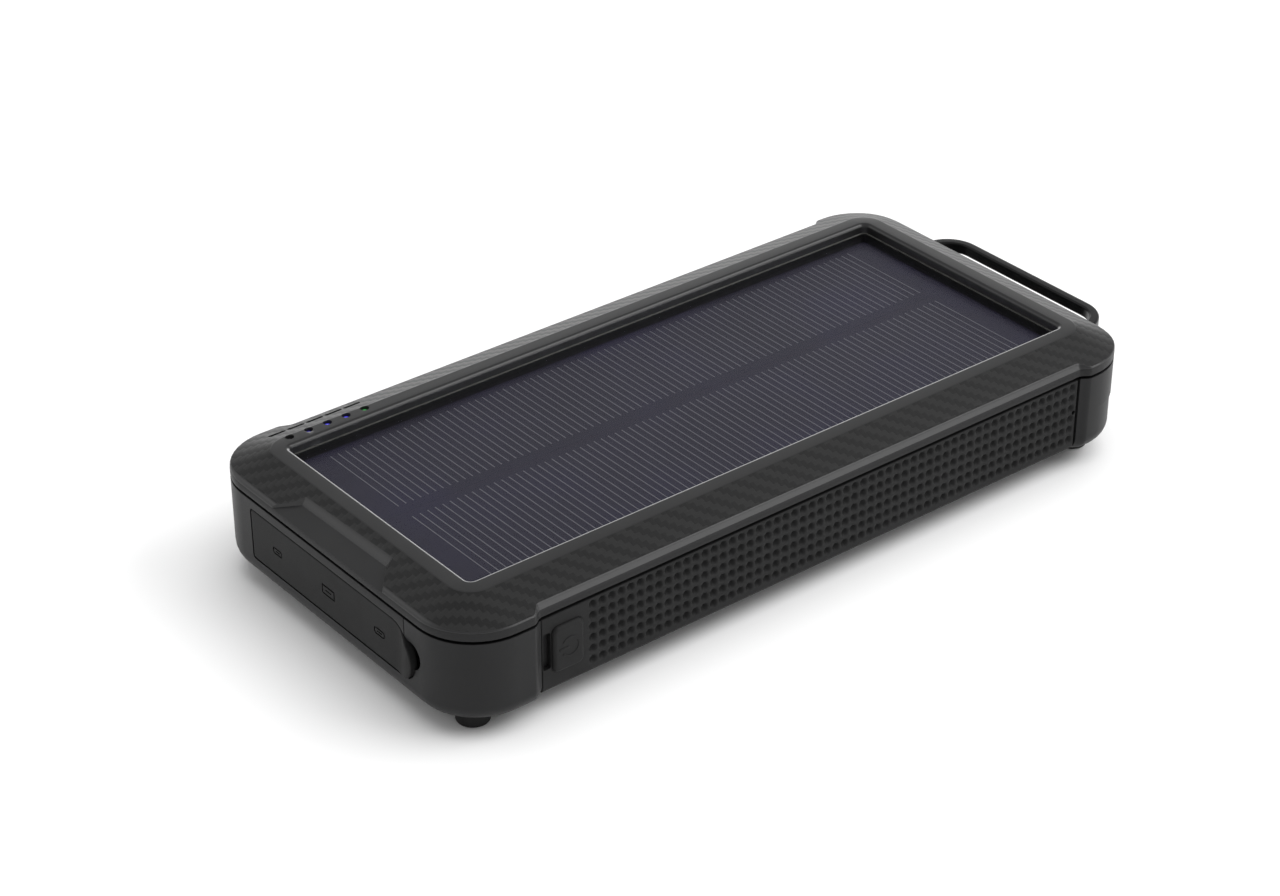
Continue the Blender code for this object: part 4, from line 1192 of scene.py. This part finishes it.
def bail_path():
    """Centre line of the U as (x, y, direction angle), from one eye to the other."""
    half = BAIL_HIGH.y - BAIL_BAR / 2
    end_x = BAIL_HIGH.x - BAIL_BAR / 2
    radius = BAIL_BEND_R
    pivot = BAIL_LOW.x + BAIL_EYE_R
    path = [(pivot, half, 0.0), (pivot + 0.3, half, 0.0)]
    for i in range(13):
        angle = math.radians(90 - 7.5 * i)
        path.append((end_x - radius + radius * math.cos(angle), half - radius + radius * math.sin(angle),
                     angle - math.pi / 2))
    mirrored = [(x, -y, -math.pi - turn) for x, y, turn in reversed(path)]
    return path + mirrored


def make_bail(material):
    """The carry bail: a bar of rounded section bent into a U, with an eye at each end."""
    centre_z = (BAIL_LOW.z + BAIL_HIGH.z) / 2
    section = rounded_rect(BAIL_BAR, BAIL_THICK, 0.45, 4)
    rings = []
    for x, y, turn in bail_path():
        across = Vector((-math.sin(turn), math.cos(turn), 0.0))
        middle = Vector((x, y, centre_z))
        rings.append([tuple(middle + across * a + Vector((0.0, 0.0, b))) for a, b in section])
    mesh = loft("bail_bar", rings)
    steps = []
    pivot = BAIL_LOW.x + BAIL_EYE_R
    for side in (-1, 1):
        y = side * (BAIL_HIGH.y - BAIL_BAR / 2)
        eye = softened(cylinder_mesh("eye", (pivot, y, centre_z), BAIL_EYE_R, BAIL_BAR, "y", 40), 0.25, 3)
        steps.append(("UNION", eye))
        bore = cylinder_mesh("eye_bore", (pivot, y, centre_z), PIN_BORE_R, 4.0, "y")
        steps.append(("DIFFERENCE", bore))
    mesh = combined(mesh, steps)
    add_piece("bail", mesh, "bail", [material], ["bail_handle"])


def make_feet(material):
    for index in range(1, FOOT_COUNT + 1):
        low, high = box_mm(f"foot_{index}")
        radius = (high.x - low.x) / 2
        place = ((low.x + high.x) / 2, (low.y + high.y) / 2, 0.0)
        profile = [(0.0, high.z), (radius - 0.1, high.z), (radius, high.z - 0.1)]
        profile += [(radius, -0.25), (radius - 0.12, -0.35), (radius - 0.12, -0.5), (radius, -0.6)]
        for angle in (0.0, 22.5, 45.0, 67.5, 90.0):
            turn = math.radians(angle)
            inset, rise = FOOT_EDGE * (1 - math.cos(turn)), FOOT_EDGE * (1 - math.sin(turn))
            profile.append((radius - inset, low.z + rise))
        profile.append((0.0, low.z))
        add_piece(f"rubber_foot_{index}", turned("foot", profile, place), "case", [material],
                  [f"foot_{index}"])


# ---------------------------------------------------------------- panel and lights

def make_window(material):
    low = PANEL_LOW + Vector((0.2, 0.0, 0.0))
    high = PANEL_HIGH - Vector((0.7, 0.45, 0.0))
    mesh = pad_mesh("window", high.x - low.x, high.y - low.y, 1.0, 0.0, high.z - low.z, 0.08, 2)
    mesh.transform(Matrix.Translation(((low.x + high.x) / 2, (low.y + high.y) / 2, low.z)))
    add_piece("panel_window", mesh, "case", [material], ["solar_window"])


def make_cells(material):
    """The two rows of cells, each running on under the blank margins of the clear sheet."""
    for row, (low_y, high_y) in enumerate(CELL_ROWS_Y, 1):
        low, high = box_mm(f"solar_cell_row_{row}")
        mesh = box_mesh("cells", (CELL_LOW_X, low_y, low.z), (CELL_HIGH_X, high_y, high.z), 0.04, 1)
        add_piece(f"cell_row_{row}", mesh, "case", [material], [f"solar_cell_row_{row}"])


def make_fingers(material):
    """The printed silver lines across each row of cells."""
    half = FINGER_WIDTH / 2
    for row, (low_y, high_y) in enumerate(FINGER_ROWS_Y, 1):
        low, high = box_mm(f"solar_cell_row_{row}")
        meshes = []
        x = low.x + 2.0
        while x < high.x - 1.8:
            low_corner = (x - half, low_y, high.z - 0.02)
            meshes.append(box_mesh("finger", low_corner, (x + half, high_y, high.z + 0.04)))
            x += FINGER_PITCH
        add_piece(f"cell_fingers_{row}", joined(meshes, "fingers"), "case", [material])


def make_light_pipes():
    """Domed pipes: the first light is off, the next three are blue and the last is green."""
    # Each look is (name, body, core, glint, glow); the glint colour is a painted highlight, also on the
    # unlit pipe.
    looks = (
        ("pipe_unlit", (0.006, 0.006, 0.007), (0.010, 0.010, 0.012), (0.020, 0.020, 0.022), 0.0),
        ("pipe_dim_blue", (0.006, 0.004, 0.060), (0.012, 0.010, 0.130), (0.030, 0.028, 0.260), 0.5),
        ("pipe_blue_1", (0.012, 0.010, 0.200), (0.060, 0.055, 0.500), (0.600, 0.620, 1.000), 1.0),
        ("pipe_blue_2", (0.012, 0.010, 0.200), (0.060, 0.055, 0.500), (0.600, 0.620, 1.000), 1.0),
        ("pipe_green", (0.004, 0.080, 0.012), (0.030, 0.220, 0.050), (0.500, 0.700, 0.450), 0.8),
    )
    for index, (name, body, core, painted_glint, glow) in enumerate(looks, 1):
        low, high = box_mm(f"light_pipe_{index}")
        radius = (high.x - low.x) / 2
        place = ((low.x + high.x) / 2, (low.y + high.y) / 2, 0.0)
        # The painted glint sits off the middle, towards the near side of the dome.
        glint_spot = (place[0] - 0.12, place[1] - 0.16, PIPE_TOP_Z)
        material = light_pipe_material(name, glint_spot, body, core, painted_glint, glow)
        profile = [(0.0, low.z), (radius, low.z), (radius, PIPE_TOP_Z - 0.35)]
        for share, drop in ((0.9, 0.16), (0.7, 0.07), (0.4, 0.02), (0.12, 0.0)):
            profile.append((radius * share, PIPE_TOP_Z - drop))
        profile.append((0.0, PIPE_TOP_Z))
        add_piece(f"light_guide_{index}", turned("pipe", profile, place, 24), "case",
                  [material], [f"light_pipe_{index}"], 60.0)


def make_contacts(material):
    """Gilt contact strips on the tongue of each socket."""
    sockets = (("usb_a", 4, 2.4, 1.1, 0.9), ("micro_usb", 5, 0.65, 0.35, 0.3), ("usb_c", 8, 0.65, 0.3, 0.35))
    for name, count, pitch, wide, tongue in sockets:
        low = box_mm(f"{name}_contact_block")[0]
        centre = middle_mm(f"{name}_shell")
        meshes = []
        for i in range(count):
            y = centre.y + (i - (count - 1) / 2) * pitch
            meshes.append(box_mesh("strip", (low.x + 0.3, y - wide / 2, centre.z + tongue - 0.02),
                                   (low.x + 3.4, y + wide / 2, centre.z + tongue + 0.06)))
        add_piece(f"{name}_contacts", joined(meshes, "contacts"), "case", [material])


# ---------------------------------------------------------------- inner parts that stay as CAD

def dress_inner_parts(rubber, backing):
    """Gives every CAD node that still shows a material of its own kind."""
    steel = speckled_material("zinc_plated_steel", (0.50, 0.50, 0.51), (0.62, 0.62, 0.63), 0.30, 1.0,
                              0.3, 0.008, (1.0, 1.0, 4.0))
    moulded = speckled_material("contact_moulding", (0.010, 0.010, 0.010), (0.016, 0.016, 0.016), 0.5)
    chip = speckled_material("epoxy_package", (0.012, 0.012, 0.013), (0.022, 0.022, 0.023), 0.5, 0.0,
                             0.15, 0.01)
    can = speckled_material("aluminium_can", (0.52, 0.53, 0.54), (0.66, 0.66, 0.67), 0.3, 0.9, 0.3, 0.006,
                            (1.0, 1.0, 6.0))
    tape = speckled_material("foam_tape", (0.55, 0.54, 0.50), (0.70, 0.69, 0.65), 0.8, 0.0, 0.6, 0.05)
    red = speckled_material("lead_insulation_red", (0.42, 0.012, 0.010), (0.55, 0.020, 0.016), 0.45)
    black = speckled_material("lead_insulation_black", (0.012, 0.012, 0.012), (0.022, 0.022, 0.022), 0.45)
    seal = speckled_material("silicone_seal", (0.014, 0.014, 0.014), (0.022, 0.022, 0.022), 0.75)
    led = speckled_material("led_package", (0.60, 0.60, 0.56), (0.72, 0.72, 0.66), 0.3)
    kinds = {
        "case_screw": steel, "board_screw": steel, "_shell": steel, "bail_pin": steel,
        "contact_block": moulded, "switch_plunger": moulded,
        "charge_controller": chip, "boost_inductor": chip, "battery_protection_chip": chip,
        "tactile_switch": chip, "filter_capacitor": can,
        "battery_cell": pouch_material(), "battery_tape": tape, "panel_tape": tape,
        "lead_positive": red, "lead_negative": black, "case_seal": seal, "indicator_led": led,
        "main_circuit_board": circuit_board_material(), "solar_backing_board": backing,
        "flap_anchor": rubber,
    }
    for name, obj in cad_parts.items():
        if obj.hide_render:
            continue
        material = next(made for key, made in kinds.items() if key in name)
        obj.data.materials.clear()
        obj.data.materials.append(material)


# ---------------------------------------------------------------- studio

def make_floor():
    material = new_material("studio_floor", (0.9, 0.9, 0.9), 0.9, Specular_IOR_Level=0.0)
    bm = bmesh.new()
    bmesh.ops.create_circle(bm, cap_ends=True, segments=96, radius=6.0)
    bm.transform(Matrix.Translation((0.0, 0.0, CAD_BOX[0].z - 0.00005)))
    mesh = bpy.data.meshes.new("floor")
    bm.to_mesh(mesh)
    bm.free()
    mesh.materials.append(material)
    floor = linked("floor", mesh)


def make_surroundings():
    """A white room that is brightest at the horizon."""
    world = bpy.data.worlds.new("studio")
    bpy.context.scene.world = world
    world.use_nodes = True
    nodes = world.node_tree.nodes
    links = world.node_tree.links
    where = nodes.new("ShaderNodeTexCoord")
    split = nodes.new("ShaderNodeSeparateXYZ")
    ramp = nodes.new("ShaderNodeValToRGB")
    links.new(where.outputs["Generated"], split.inputs[0])
    links.new(split.outputs["Z"], ramp.inputs["Fac"])
    links.new(ramp.outputs["Color"], nodes["Background"].inputs["Color"])
    elements = ramp.color_ramp.elements
    elements.new(0.3)
    elements.new(0.55)
    for element, (place, level) in zip(elements, ((0.0, 0.85), (0.12, 0.8), (0.42, 0.42), (1.0, 0.46))):
        element.position = place
        element.color = (level, level, level, 1.0)


def add_sun(name, direction, strength, spread):
    """Even light for the floor that leaves no disc in the gloss."""
    light = bpy.data.lights.new(name, "SUN")
    light.energy = strength
    light.angle = math.radians(spread)
    obj = linked(name, light)
    obj.visible_glossy = False
    obj.rotation_mode = "QUATERNION"
    obj.rotation_quaternion = Vector(direction).to_track_quat("Z", "Y")


def add_softbox(name, direction, distance, size, power):
    light = bpy.data.lights.new(name, "AREA")
    light.shape = "RECTANGLE"
    light.size, light.size_y = size
    light.energy = power
    obj = linked(name, light)
    towards = Vector(direction).normalized()
    obj.location = towards * distance
    obj.rotation_mode = "QUATERNION"
    obj.rotation_quaternion = towards.to_track_quat("Z", "Y")
    obj.visible_camera = False
    return obj


def make_lights():
    add_sun("overhead", (0.2, -0.1, 1.0), 1.9, 70.0)
    add_softbox("right_softbox", (0.56, -0.48, 0.68), 1.0, (0.75, 0.42), 3.9)
    add_softbox("left_softbox", (-0.55, 0.65, 0.5), 1.1, (0.7, 0.45), 0.9)
    back = add_softbox("back_softbox", (0.64, 0.77, 0.15), 1.2, (0.9, 0.28), 1.5)
    low = add_softbox("low_softbox", (0.5, -0.85, 0.22), 1.2, (0.8, 0.3), 2.3)
    for rim_light in (back, low):
        rim_light.visible_diffuse = False


def make_camera():
    azimuth, elevation = math.radians(CAMERA_AZIMUTH), math.radians(CAMERA_ELEVATION)
    back = Vector((math.sin(azimuth) * math.cos(elevation), -math.cos(azimuth) * math.cos(elevation),
                   math.sin(elevation)))
    right = (-back).cross(Vector((0.0, 0.0, 1.0))).normalized()
    up = right.cross(-back)
    target = Vector((0.0, 0.0, RIM_Z * MM)) + right * CAMERA_SHIFT[0] + up * CAMERA_SHIFT[1]
    data = bpy.data.cameras.new("camera")
    data.sensor_width = 36.0
    data.lens = CAMERA_LENS
    data.clip_start = 0.01
    data.clip_end = 50.0
    camera = linked("camera", data)
    camera.location = target + back * CAMERA_DISTANCE
    camera.rotation_mode = "QUATERNION"
    camera.rotation_quaternion = (-back).to_track_quat("-Z", "Y")
    bpy.context.scene.camera = camera


def main():
    make_camera()
    make_floor()
    make_surroundings()
    make_lights()
    bpy.context.scene.view_settings.view_transform = "Standard"
    rubber = rubber_material()
    backing = backing_material()
    shell = shell_material()
    make_cover([smooth_material(), twill_material(), sealant_material(), shell, lip_highlight_material()])
    make_shell([shell])
    make_grips([rubber])
    make_button([rubber])
    make_flap([rubber])
    make_flap_strap(rubber)
    make_bail(bail_material())
    make_feet(rubber)
    make_window(window_material())
    make_cells(cell_material())
    make_fingers(finger_material())
    make_light_pipes()
    make_contacts(speckled_material("gilt_contact", (0.60, 0.42, 0.14), (0.72, 0.52, 0.20), 0.28, 1.0))
    dress_inner_parts(rubber, backing)


main()
